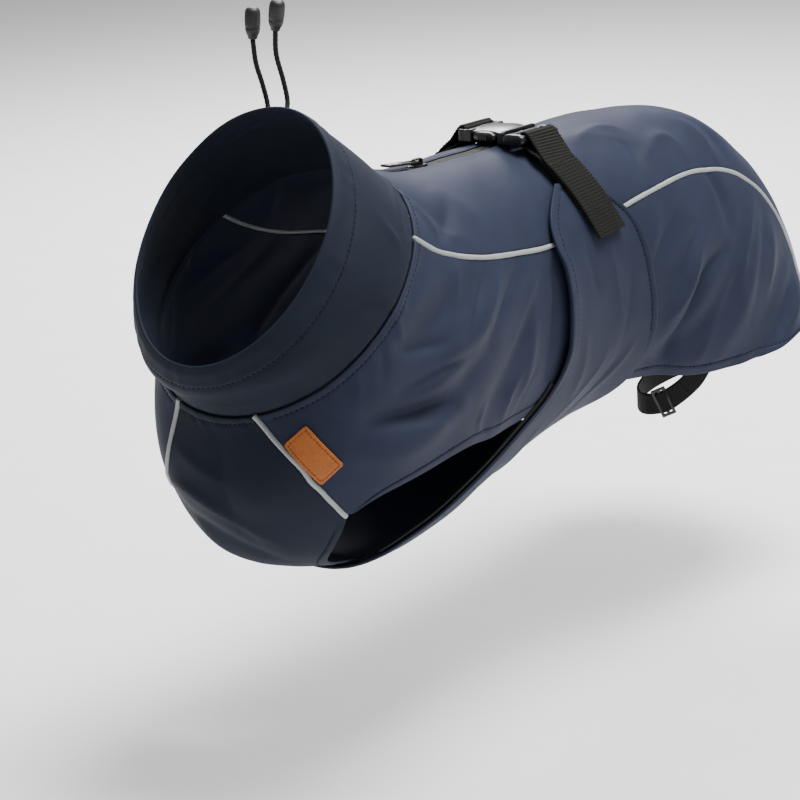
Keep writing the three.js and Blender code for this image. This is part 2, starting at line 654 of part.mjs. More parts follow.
crown.rotation.set(Math.PI / 2, Math.PI / 2, 0);
const crownFloor = sliderFloor + SLIDER.height + SEAM;
crown.position.set(0, SLIDER.y, crownFloor);

const pullShape = roundedBox(PULL.width, PULL.length, 1.6);
const eyeWindow = new THREE.Path();
const windowTop = PULL.length / 2 - PULL.barDepth;
eyeWindow.moveTo(-PULL.windowHalf, windowTop);
eyeWindow.lineTo(-PULL.windowHalf, windowTop - PULL.windowLength);
eyeWindow.lineTo(PULL.windowHalf, windowTop - PULL.windowLength);
eyeWindow.lineTo(PULL.windowHalf, windowTop);
eyeWindow.closePath();
pullShape.holes.push(eyeWindow);
const pullGeometry = plate(pullShape, PULL.thick);
pullGeometry.translate(0, -PULL.length / 2 + PULL.barDepth / 2, -PULL.thick / 2);
const pull = add("zip_pull", pullGeometry, plastic(0x1c1d1f, 0.35));
const hinge = { y: SLIDER.y - 1.4, z: crownFloor + CROWN.height / 2 };
pull.position.set(0, hinge.y, hinge.z);
pull.rotation.x = -THREE.MathUtils.degToRad(PULL_TILT_DEG);

// Strap: the lower layer is sewn to the wing, the free tail lies on it, and on the right the webbing
// ends in a short loop through the buckle's bar.
function strapPiece(side, lastRow, lift, shift) {
  const rows = spread(0, lastRow, Math.ceil(lastRow * 2.6)).map((t) => {
    const ahead = { u: column(STRAP, "at", t + 0.05), deg: side * column(STRAP, "deg", t + 0.05) };
    const back = { u: column(STRAP, "at", t - 0.05), deg: side * column(STRAP, "deg", t - 0.05) };
    const place = { u: column(STRAP, "at", t), deg: side * column(STRAP, "deg", t) };
    const run = [ahead.u - back.u, ahead.deg - back.deg];
    const rise = lift + Math.max(0, column(STRAP, "rise", t));
    return [-1, -0.33, 0.33, 1].map((k) => {
      const spot = sidestep(place, ...run, (k * WEBBING_WIDTH) / 2 + shift);
      return { ...spot, rise };
    });
  });
  const layer = (extra) => rows.map((row) => row.map((spot) => lifted(spot.u, spot.deg, spot.rise + extra)));
  return slab(layer(WEBBING_THICK), layer(0));
}
const secondLift = WEBBING_LIFT + WEBBING_THICK + SEAM;
add("webbing_left", strapPiece(1, LOWER_END_ROW, WEBBING_LIFT, 1.5), cloth(BLACK));
add("webbing_tail", strapPiece(1, TAIL_END_ROW, secondLift, 0), cloth(BLACK));
add("webbing_right", strapPiece(-1, LOWER_END_ROW, WEBBING_LIFT, 0), cloth(BLACK));
add("webbing_loop", strapPiece(-1, LOOP_END_ROW, secondLift, 0), cloth(BLACK));

// Buckle: a flat socket open to the left, and the prong frame that plugs into it.
const wasm = await Module();
wasm.setup();

// A closed geometry as a solid for joining and cutting.
function solid(geometry) {
  const bare = geometry.clone();
  bare.deleteAttribute("normal");
  bare.deleteAttribute("uv");
  const merged = mergeVertices(bare, 1e-4);
  return new wasm.Manifold(new wasm.Mesh({
    numProp: 3,
    vertProperties: new Float32Array(merged.attributes.position.array),
    triVerts: new Uint32Array(merged.index.array),
  }));
}

// A solid's surface as a geometry.
function surface(manifold) {
  const mesh = manifold.getMesh();
  const geometry = new THREE.BufferGeometry();
  geometry.setAttribute("position", new THREE.BufferAttribute(mesh.vertProperties, 3));
  geometry.setIndex(new THREE.BufferAttribute(mesh.triVerts, 1));
  geometry.computeVertexNormals();
  return geometry;
}

// A box given by its middle and its size.
function block(x, y, z, sizeX, sizeY, sizeZ) {
  return solid(new THREE.BoxGeometry(sizeX, sizeY, sizeZ).translate(x, y, z));
}

// An outline in the X-Y plane with softened long edges, of the given height, centred on z = 0.
function softPlate(shape, height, bevel) {
  const geometry = new THREE.ExtrudeGeometry(shape, {
    depth: height - 2 * bevel,
    bevelThickness: bevel,
    bevelSize: bevel,
    bevelOffset: -bevel,
    bevelSegments: 2,
    curveSegments: 3,
  });
  return solid(geometry.translate(0, 0, -height / 2 + bevel));
}

const left = -BUCKLE.length / 2;
const socketMiddle = left + SOCKET_LENGTH / 2;
const throat = BUCKLE.height - 2 * BUCKLE_WALL;
const socketPlan = roundedBox(SOCKET_LENGTH, BUCKLE.width - 3, 4);
let socket = softPlate(socketPlan, BUCKLE.height, 1.6).translate([socketMiddle, 0, 0]);
socket = socket.subtract(block(left + 18.4, 0, 0, 22.8, BUCKLE.width - 8, throat));
socket = socket.subtract(block(left + 31, 0, 0, 6, BUCKLE.width - 8, throat));
for (const side of [1, -1]) {
  socket = socket.subtract(block(left + 17.5, side * BUCKLE.width * 0.47, 0, 13, 9, throat));
}
socket = socket.subtract(block(left + 4.4, 0, 0, 3.2, WEBBING_WIDTH, BUCKLE.height + 2));
add("buckle_socket", surface(socket), plastic(BLACK, 0.28));

const prongLength = BUCKLE.length - SOCKET_LENGTH - 0.4;
const prongMiddle = BUCKLE.length / 2 - prongLength / 2;
const prongHeight = throat - 0.8;
let prongs = softPlate(roundedBox(prongLength, BUCKLE.width + 1, 4), 6.4, 1.4).translate([prongMiddle, 0, 0]);
prongs = prongs.subtract(block(prongMiddle - 1.9, 0, 0, 3, WEBBING_WIDTH + 1, 10));
prongs = prongs.subtract(block(prongMiddle + 3, 0, 0, 2.6, WEBBING_WIDTH + 1, 10));
for (const side of [1, -1]) {
  prongs = prongs.add(block(4.6, side * 9.6, 0, 13, 3.4, prongHeight));
  prongs = prongs.add(block(-4.5, side * 11.6, 0, 8.4, 8, prongHeight));
}
prongs = prongs.add(block(3.2, 0, 0, 14, 3, prongHeight));
add("buckle_prongs", surface(prongs), plastic(BLACK, 0.28));
for (const name of ["buckle_socket", "buckle_prongs"]) {
  coat.getObjectByName(name).position.set(BUCKLE.x, BUCKLE.y, BUCKLE.z);
}

// Leather label: a plain patch that follows the left side panel.
const labelPlaces = spread(0, 1, 5).map((t) => {
  const [upperIn, upperOut, lowerOut, lowerIn] = LABEL.map((row) => ({ u: row.at, deg: row.deg }));
  const inner = between(upperIn, lowerIn, 5)[Math.round(t * 5)];
  const outer = between(upperOut, lowerOut, 5)[Math.round(t * 5)];
  return between(inner, outer, 3);
});
const labelLayers = [LABEL_LIFT + LABEL_THICK, LABEL_LIFT];
add("leather_label", clothPiece(labelPlaces, ...labelLayers), cloth(ORANGE));

// Leg loops: an elastic band round each hind leg, with a ladder slider in front.
for (const side of [1, -1]) {
  const word = side > 0 ? "left" : "right";
  const line = new THREE.CatmullRomCurve3(LEG_LOOP.map((row) => new THREE.Vector3(side * row.x, row.y, row.z)));
  const station = (t) => {
    const point = line.getPoint(t);
    const heading = line.getTangent(t);
    const across = new THREE.Vector3(0, 0, 1).addScaledVector(heading, -heading.z).normalize();
    const normal = new THREE.Vector3().crossVectors(across, heading).multiplyScalar(side);
    return { point, across, normal };
  };
  const layer = (offset) => spread(0, 1, 26).map((t) => {
    const { point, across, normal } = station(t);
    return [-0.5, 0.5].map((k) => point.clone().addScaledVector(across, k * LOOP_WIDTH).addScaledVector(normal, offset));
  });
  add(`leg_loop_${word}`, slab(layer(LOOP_THICK / 2), layer(-LOOP_THICK / 2)), cloth(BLACK));
  const frameShape = roundedBox(LOOP_WIDTH + 5, 9, 1.2);
  const { point, across, normal } = station(LOOP_SLIDER_AT / (LEG_LOOP.length - 1));
  const ladder = add(`loop_slider_${word}`, plate(frameShape, 1.6), plastic(BLACK, 0.35));
  const ahead = new THREE.Vector3().crossVectors(normal, across);
  ladder.setRotationFromMatrix(new THREE.Matrix4().makeBasis(across, ahead, normal));
  ladder.position.copy(point).addScaledVector(normal, LOOP_THICK / 2 + 0.5);
}

// Drawcord: two free ends standing up at the nape, each with a moulded cord end.
const endProfile = [
  new THREE.Vector2(0, 0),
  new THREE.Vector2(CORD_END.neck, 0),
  new THREE.Vector2(CORD_END.radius * 0.78, 2.4),
  new THREE.Vector2(CORD_END.radius, 9),
  new THREE.Vector2(CORD_END.radius * 0.96, CORD_END.length - 2.6),
  new THREE.Vector2(CORD_END.radius * 0.6, CORD_END.length - 0.6),
  new THREE.Vector2(0, CORD_END.length),
];
const cordEnds = [
  { word: "left", exit: CORD_EXITS.leftDeg, rows: CORD_LEFT, lean: CORD_LEAN_LEFT },
  { word: "right", exit: CORD_EXITS.rightDeg, rows: CORD_RIGHT, lean: CORD_LEAN_RIGHT },
];
for (const { word, exit, rows, lean } of cordEnds) {
  const foot = lifted(CORD_EXITS.at, exit, CHANNEL_SWELL + SEAM + 0.15);
  const points = [foot, ...rows.map((row) => new THREE.Vector3(row.x, row.y, row.z))];
  add(`drawcord_${word}`, cord(points, CORD_RADIUS, 10, 8), cloth(BLACK));
  const last = points[points.length - 1];
  const direction = new THREE.Vector3(lean.x, lean.y, lean.z).normalize();
  const cap = add(`cord_end_${word}`, new THREE.LatheGeometry(endProfile, 14), plastic(BLACK, 0.4));
  cap.quaternion.setFromUnitVectors(new THREE.Vector3(0, 1, 0), direction);
  cap.position.copy(last).addScaledVector(direction, SEAM + 0.5);
}

export default coat;
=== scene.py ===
"""Dog raincoat in its worn shape: softshell cloth, webbing strap, zip, piping, leg loops and drawcord.

All sizes in the tables and fields are millimetres and degrees. Meshes are made in millimetres and
turned into metres when they become Blender objects. The neck points to -Y, +X is the wearer's left.
"""
from __future__ import annotations

import logging
import math
from dataclasses import dataclass, field
from enum import Enum
from typing import Callable, Sequence

import bmesh
import bpy
import numpy as np
from mathutils import Matrix, Vector


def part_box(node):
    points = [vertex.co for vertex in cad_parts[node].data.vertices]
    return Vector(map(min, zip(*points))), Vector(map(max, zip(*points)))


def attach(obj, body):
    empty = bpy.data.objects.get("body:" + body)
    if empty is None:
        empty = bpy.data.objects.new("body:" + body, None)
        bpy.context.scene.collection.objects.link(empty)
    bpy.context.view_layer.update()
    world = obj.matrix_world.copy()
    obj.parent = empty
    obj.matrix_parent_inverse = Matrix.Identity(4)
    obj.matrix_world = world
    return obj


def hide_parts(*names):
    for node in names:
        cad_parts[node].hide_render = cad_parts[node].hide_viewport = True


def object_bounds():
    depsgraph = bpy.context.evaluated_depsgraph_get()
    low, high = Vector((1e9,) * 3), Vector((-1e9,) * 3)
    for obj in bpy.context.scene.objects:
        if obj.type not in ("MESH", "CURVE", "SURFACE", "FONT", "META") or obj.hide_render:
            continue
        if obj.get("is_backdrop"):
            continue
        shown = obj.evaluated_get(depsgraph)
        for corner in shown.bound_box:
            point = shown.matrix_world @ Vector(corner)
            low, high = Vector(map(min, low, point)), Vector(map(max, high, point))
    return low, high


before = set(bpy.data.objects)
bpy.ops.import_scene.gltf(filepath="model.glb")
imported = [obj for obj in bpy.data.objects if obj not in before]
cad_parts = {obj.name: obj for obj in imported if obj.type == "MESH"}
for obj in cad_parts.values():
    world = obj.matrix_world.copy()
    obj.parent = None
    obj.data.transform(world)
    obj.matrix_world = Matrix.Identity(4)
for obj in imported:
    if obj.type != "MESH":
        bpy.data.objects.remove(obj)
CAD_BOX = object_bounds()

LOG = logging.getLogger("dog_raincoat")
MM = 0.001
BODY = "coat"
PULL_BODY = "pull"

# Wall, seam and edge sizes
CLOTH = 1.6
FLAP_CLOTH = 1.5
FLAP_LIFT = 1.9
PIPING_RADIUS = 1.4
PIPING_SINK = 0.5
PIPING_FIRST = 2.0
BESIDE_PIPING = 1.25
PANEL_START = 2.006
COLLAR_END = 2.03
CREASE_DEPTH = 1.8
CREASE_POWER = 1.45
COAT_END = 13.62
HEM_WIDTH = 6.6
SEAM_BAND = 3.9
NEAR_EDGE = (0.0, 0.2, 0.55, 1.1, 2.0, 3.0, 3.5, 3.9, 4.3, 5.0, 5.8, 6.2, 6.6, 7.0, 7.5, 8.6)

# Rings of the coat: top y, top z, low y, low z, half width, squareness
RINGS = (
    (-177, 50, -257, -62, 59, 2.0),
    (-153, 31, -255, -77, 71, 2.0),
    (-132, 13, -241, -92, 77, 2.0),
    (-104, 4, -247, -139, 78, 2.1),
    (-76, 1, -219, -176, 79, 2.2),
    (-48, 1, -154, -190, 73.5, 2.2),
    (-22, 1.5, -74, -174, 66.5, 2.2),
    (4, 1.6, 9, -160, 64, 2.2),
    (52, 3, 58, -168, 68.5, 2.2),
    (102, 2, 88, -188, 73.5, 2.2),
    (150, -5, 96, -204, 76, 2.2),
    (187, -28, 96, -208, 78, 2.2),
    (215, -61, 92, -200, 79, 2.2),
    (231, -99, 84, -184, 82, 2.2),
    (239, -139, 78, -168, 88, 2.2),
)

# The side piping's angle, one value for each ring from the collar seam on
SIDE_PIPING = ((60,), (56,), (55.5,), (57.5,), (63,), (63.5,), (57,), (50.5,), (50.5,), (51.5,), (57,), (61,), (63,))

# The chest piping: ring number, angle on the left, angle on the right
CHEST_PIPING = (
    (2.0, 160.5, 159.5),
    (2.5, 147.5, 156),
    (2.95, 138, 152),
    (3.35, 135, 145),
    (3.7, 134.5, 134.5),
)

# The side panel's ribs: ring number at the piping, ring number at the hem, angle at the hem
HEM_RIBS = (
    (3.65, 3.7, 134.5),
    (3.82, 3.76, 127.5),
    (4.05, 3.92, 121),
    (4.4, 4.25, 114),
    (4.85, 4.75, 108.5),
    (5.3, 5.3, 111),
    (5.8, 5.85, 117.5),
    (6.4, 6.5, 124),
    (7.0, 7.1, 133),
    (7.6, 7.6, 136),
    (8.2, 8.2, 132),
    (9.0, 9.0, 124.5),
    (9.9, 9.95, 115.5),
    (11.0, 11.35, 106.5),
    (12.1, 12.6, 100),
    (13.0, 13.25, 92),
    (COAT_END, 13.48, 80),
)

# The chest panel's free edge: ring number, angle
BIB_EDGE = (
    (3.7, 134.5),
    (3.84, 140.5),
    (3.98, 147),
    (4.15, 154),
    (4.35, 159.5),
    (4.6, 162),
    (4.84, 163),
)

# The belly flap's ribs from a wing's top to the middle: front ring, front angle, rear ring, rear angle
FLAP_RIBS = (
    (6.32, 41, 6.98, 43.5),
    (6.02, 47, 7.36, 57),
    (5.83, 54, 7.56, 66),
    (5.85, 63, 7.64, 76),
    (6.0, 73, 7.68, 86),
    (6.12, 86, 7.72, 98),
    (6.2, 99, 7.74, 110),
    (6.16, 110, 7.68, 122),
    (6.0, 116.5, 7.52, 133),
    (5.7, 121.5, 7.32, 143),
    (5.35, 125.5, 7.12, 152),
    (5.05, 131, 6.99, 161),
    (4.8, 143, 6.93, 169),
    (4.68, 159, 6.9, 175),
    (4.66, 180, 6.9, 180),
)

# The strap over a flank: ring number, angle, rise over the lower layer
STRAP = (
    (6.68, 22.4, 3.2),
    (6.71, 25.5, 2.2),
    (6.76, 32, 0.7),
    (6.82, 42, 0),
    (6.92, 56, 0),
    (7.02, 69, 0.3),
)

# Label corners: ring number, angle (upper inner, upper outer, lower outer, lower inner)
LABEL_CORNERS = ((2.47, 145.2), (2.33, 137), (2.95, 126), (3.03, 133.2))

# The leg loop's centre line on the wearer's left
LEG_LOOP = (
    (63.4, 104.3, -139),
    (57, 96, -155),
    (46, 85, -166),
    (31, 83, -170),
    (19, 95, -169),
    (16, 115, -165),
    (27, 138, -158),
    (47, 156, -150),
    (65, 166, -140),
    (73.9, 172.3, -128),
)

# The drawcord's free ends above their exits at the nape
CORD_EXIT_RING = 0.36
CORD_LEFT = (-4.5, ((-7.2, -163.8, 50.5), (-9, -164, 61), (-9, -167.5, 74), (-5.5, -170.5, 86)), (0.3, -0.1, 1))
CORD_RIGHT = (-15.5, ((-19.5, -165.5, 47.5), (-21.5, -166, 58), (-22.5, -168.5, 69), (-21.5, -170.5, 81)), (0.1, 0, 1))

# Largest folds of the coat: from ring, from angle, to ring, to angle, half width, height
MAIN_FOLDS = (
    (10.05, 82, 7.95, 124, 11, -5.5),
    (8.7, 72, 8.15, 108, 10, 3),
    (10.6, 70, 9.7, 108, 12, 3.5),
    (11.7, 68, 11.2, 99, 10, -2.5),
    (2.3, 30, 3.3, 48, 7, -2.5),
    (3.1, 22, 3.9, 42, 9, 2),
    (3.7, 64, 2.6, 92, 9, -3),
    (4.4, 66, 3.4, 98, 10, 2.5),
    (4.5, 84, 2.9, 112, 8, -3.5),
    (4.3, 96, 3.0, 122, 9, 3),
    (5.6, 72, 4.9, 102, 9, -3),
    (9.2, 14, 10.2, 38, 12, 2.5),
    (9.7, -78, 8.2, -122, 10, -5),
    (8.5, -70, 8.0, -106, 10, 3),
    (10.8, -66, 10.2, -106, 12, 3.5),
    (4.0, -62, 2.8, -88, 10, -3),
    (4.2, -88, 2.8, -116, 8, -3),
    (4.6, -98, 3.3, -120, 9, 3),
)

# Finer creases of the panels: ring and angle at the start, middle and end, half width, height
CREASES = (
    (2.00, 21, 1.60, 45, 1.70, 64, 2.6, 0.9),
    (1.05, 62, 1.40, 66, 1.65, 69, 2.8, 0.8),
    (2.08, 36, 2.60, 45, 2.80, 51, 2.8, 0.9),
    (3.35, 30, 3.15, 42, 2.85, 51, 5.0, -1.0),
    (2.80, 40, 3.10, 46, 3.50, 48, 4.5, 0.8),
    (2.35, 64, 2.25, 76, 2.25, 84, 3.6, -1.1),
    (3.25, 58, 3.45, 70, 3.30, 82, 5.0, 1.1),
    (4.00, 58, 3.95, 69, 3.85, 80, 4.0, -1.2),
    (4.40, 59, 4.30, 70, 4.15, 80, 4.2, 0.8),
    (4.90, 60, 4.65, 70, 4.45, 80, 3.6, -1.1),
    (5.50, 66, 5.25, 76, 5.00, 88, 3.8, 0.9),
    (3.50, 82, 3.00, 88, 2.60, 94, 3.4, -1.6),
    (4.10, 84, 3.60, 89, 3.10, 99, 3.6, -1.8),
    (4.20, 95, 3.70, 98, 2.95, 112, 4.2, -1.9),
    (4.05, 100, 3.60, 104, 3.10, 114, 4.0, 1.2),
    (4.95, 106, 4.80, 101, 4.85, 97, 1.8, 0.7),
    (5.30, 107, 5.30, 100, 5.45, 94, 2.0, 0.8),
    (5.60, 111, 5.60, 104, 5.75, 98, 1.8, -0.7),
    (2.10, 92, 2.35, 93, 2.60, 92, 2.2, 0.6),
    (2.10, 104, 2.35, 103, 2.70, 105, 2.4, -0.6),
    (2.10, 117, 2.35, 116, 2.60, 118, 2.6, 0.6),
    (5.90, 69, 5.98, 84, 6.02, 104, 4.5, -1.6),
    (5.45, 72, 5.55, 90, 5.55, 106, 5.0, 1.2),
    (9.32, 80, 8.70, 94, 8.25, 121, 5.2, -3.6),
    (8.65, 82, 8.40, 92, 8.05, 104, 3.6, 1.4),
    (9.85, 82, 9.35, 96, 8.95, 116, 4.5, 1.6),
    (8.75, 72, 8.45, 82, 8.20, 94, 4.6, -1.6),
    (8.30, 69, 8.00, 78, 7.75, 88, 4.0, -1.3),
    (8.05, 64, 7.90, 74, 7.75, 82, 4.0, 0.9),
    (10.40, 57, 9.95, 80, 9.95, 92, 3.6, 1.2),
    (11.05, 64, 11.10, 78, 11.25, 88, 4.2, 1.0),
    (10.75, 60, 10.55, 78, 10.60, 96, 5.0, -1.1),
    (9.30, 51, 9.45, 60, 9.50, 72, 3.6, -1.8),
    (9.40, 24, 9.55, 34, 9.62, 46, 3.0, 1.2),
    (9.60, 22, 9.80, 32, 9.90, 44, 4.0, -0.9),
    (12.3, 66, 12.3, 82, 12.5, 94, 6.0, -1.6),
    (12.8, 66, 12.9, 78, 13.0, 88, 5.5, 1.4),
    (11.8, -56, 11.6, -74, 11.5, -98, 6.5, -1.6),
    (12.5, -66, 12.5, -80, 12.8, -92, 5.5, 1.5),
    (10.2, -56, 9.90, -76, 9.80, -96, 4.5, 1.3),
    (9.50, -54, 9.30, -66, 9.35, -80, 4.0, -1.6),
    (8.90, -70, 8.55, -88, 8.30, -104, 4.6, -1.6),
    (8.20, -66, 7.95, -78, 7.70, -94, 4.4, -1.2),
    (9.20, -28, 9.45, -36, 9.60, -47, 3.4, 1.0),
    (5.85, -70, 5.95, -86, 6.00, -112, 4.5, -2.4),
    (5.35, -70, 5.30, -88, 5.40, -104, 5.0, 1.2),
    (4.70, -64, 4.45, -78, 4.30, -92, 4.0, -1.4),
    (3.60, -60, 3.40, -74, 3.10, -90, 4.6, 1.1),
    (3.10, -62, 2.80, -74, 2.55, -88, 4.0, -1.2),
    (4.30, -92, 3.60, -98, 2.90, -110, 4.2, -1.8),
    (4.80, -104, 4.75, -98, 4.60, -92, 2.2, 0.7),
    (5.40, -108, 5.35, -100, 5.50, -92, 2.2, -0.8),
    (2.10, -34, 2.50, -42, 2.95, -50, 3.2, -1.0),
    (2.10, -78, 2.40, -82, 2.70, -84, 2.6, 0.7),
    (2.10, -102, 2.40, -100, 2.75, -104, 2.6, -0.7),
    (1.90, -30, 1.50, -48, 1.60, -66, 3.0, 0.9),
    (1.85, 96, 1.30, 100, 0.95, 112, 5.0, -0.9),
    (1.80, 130, 1.30, 138, 0.95, 150, 6.0, 0.7),
    (1.85, -120, 1.35, -128, 0.95, -140, 6.0, -0.8),
    (1.70, -84, 1.30, -92, 1.00, -104, 5.0, 0.7),
    (2.35, 176, 2.90, 172, 3.60, 168, 9.0, -0.9),
    (3.20, -166, 3.60, -172, 3.95, 178, 7.0, 0.8),
    (6.9, -14, 7.6, -20, 8.3, -34, 8.0, -0.8),
    (7.4, 16, 8.1, 26, 8.5, 40, 8.0, 0.8),
    (12.2, -20, 12.7, -8, 12.8, 8, 8.0, -1.1),
    (7.55, 22, 8.15, 17, 8.40, 30, 5.0, 1.2),
    (8.35, 40, 8.85, 31, 9.00, 42, 4.4, 1.1),
    (8.10, 28, 8.20, 36, 8.05, 46, 5.0, -1.1),
    (2.95, -156, 2.93, -178, 3.50, 160, 3.0, 1.0),
    (3.25, -154, 3.35, -176, 3.90, 164, 8.0, -1.6),
    (2.55, -160, 2.60, -174, 2.72, 170, 3.4, 0.5),
    (13.1, -26, 13.2, -6, 13.1, 18, 6.0, 0.9),
)

# Creases of the belly flap, in the same columns
FLAP_CREASES = (
    (6.55, 64, 6.60, 76, 6.70, 88, 4.0, -0.7),
    (6.95, 70, 7.05, 84, 7.10, 98, 4.6, 0.8),
    (7.35, 82, 7.25, 96, 7.15, 110, 4.0, -0.6),
    (6.50, 98, 6.55, 112, 6.50, 124, 4.2, 0.9),
    (7.40, 112, 7.15, 122, 6.80, 134, 3.4, 1.1),
    (7.10, 118, 6.90, 128, 6.60, 140, 3.4, -0.7),
    (6.90, 112, 6.70, 122, 6.35, 134, 3.0, 0.9),
    (6.20, 130, 6.05, 146, 6.00, 162, 5.0, 0.9),
    (5.60, 140, 5.50, 156, 5.50, 172, 4.6, -0.6),
    (6.55, -64, 6.65, -78, 6.70, -92, 4.4, -0.7),
    (7.10, -74, 7.15, -88, 7.10, -102, 4.6, 0.9),
    (7.35, -112, 7.05, -124, 6.70, -136, 3.6, 1.1),
    (6.60, -104, 6.50, -118, 6.40, -130, 4.2, -0.6),
    (6.15, -132, 6.05, -150, 6.00, -170, 5.0, 0.8),
)


def column(table: np.ndarray, t: np.ndarray) -> np.ndarray:
    """Catmull-Rom values of a table at fractional rows, with straight continuation past both ends.

    Args:
        table: Rows of values, one column or several.
        t: Fractional row numbers.

    Returns:
        The values, with the table's columns as the last axis.
    """
    table = np.asarray(table, float)
    t = np.asarray(t, float)
    last = len(table) - 1
    i = np.clip(np.floor(t).astype(int), 0, last - 1)
    f = (t - i)[..., None]
    b, c = table[i], table[i + 1]
    a = np.where((i > 0)[..., None], table[np.maximum(i - 1, 0)], 2 * b - c)
    d = np.where((i + 2 <= last)[..., None], table[np.minimum(i + 2, last)], 2 * c - b)
    bend = (2 * a - 5 * b + 4 * c - d) * f * f
    twist = (-a + 3 * b - 3 * c + d) * f**3
    return 0.5 * (2 * b + (c - a) * f + bend + twist)


def unit(vectors: np.ndarray) -> np.ndarray:
    """Vectors scaled to length one."""
    return vectors / np.maximum(np.linalg.norm(vectors, axis=-1, keepdims=True), 1e-9)


def smooth(x: np.ndarray) -> np.ndarray:
    """Soft step from 0 to 1 as x goes from 0 to 1."""
    x = np.clip(x, 0, 1)
    return x * x * (3 - 2 * x)


def bell(x: np.ndarray, width: float) -> np.ndarray:
    """Soft bell of height 1 at 0."""
    return np.exp(-((x / width) ** 2))


def lengths(points: np.ndarray, axis: int = 0) -> np.ndarray:
    """Arc length from the first point, along an axis of a grid of points."""
    step = np.linalg.norm(np.diff(points, axis=axis), axis=-1)
    start = np.zeros_like(np.take(step, [0], axis=axis))
    return np.concatenate([start, np.cumsum(step, axis=axis)], axis=axis)


def dense(length: float, step: float, near_start: Sequence[float], near_end: Sequence[float]) -> np.ndarray:
    """Distances from 0 to a length, closer together near both ends.

    Args:
        length: The whole length.
        step: Spacing in the middle.
        near_start: Distances kept from the start.
        near_end: Distances kept from the end.

    Returns:
        The distances in rising order.
    """
    first, last = near_start[-1], length - near_end[-1]
    count = max(2, int(math.ceil((last - first) / step)))
    middle = np.linspace(first, last, count + 1)
    ends = length - np.array(near_end[:-1])[::-1]
    return np.concatenate([near_start[:-1], middle, ends])


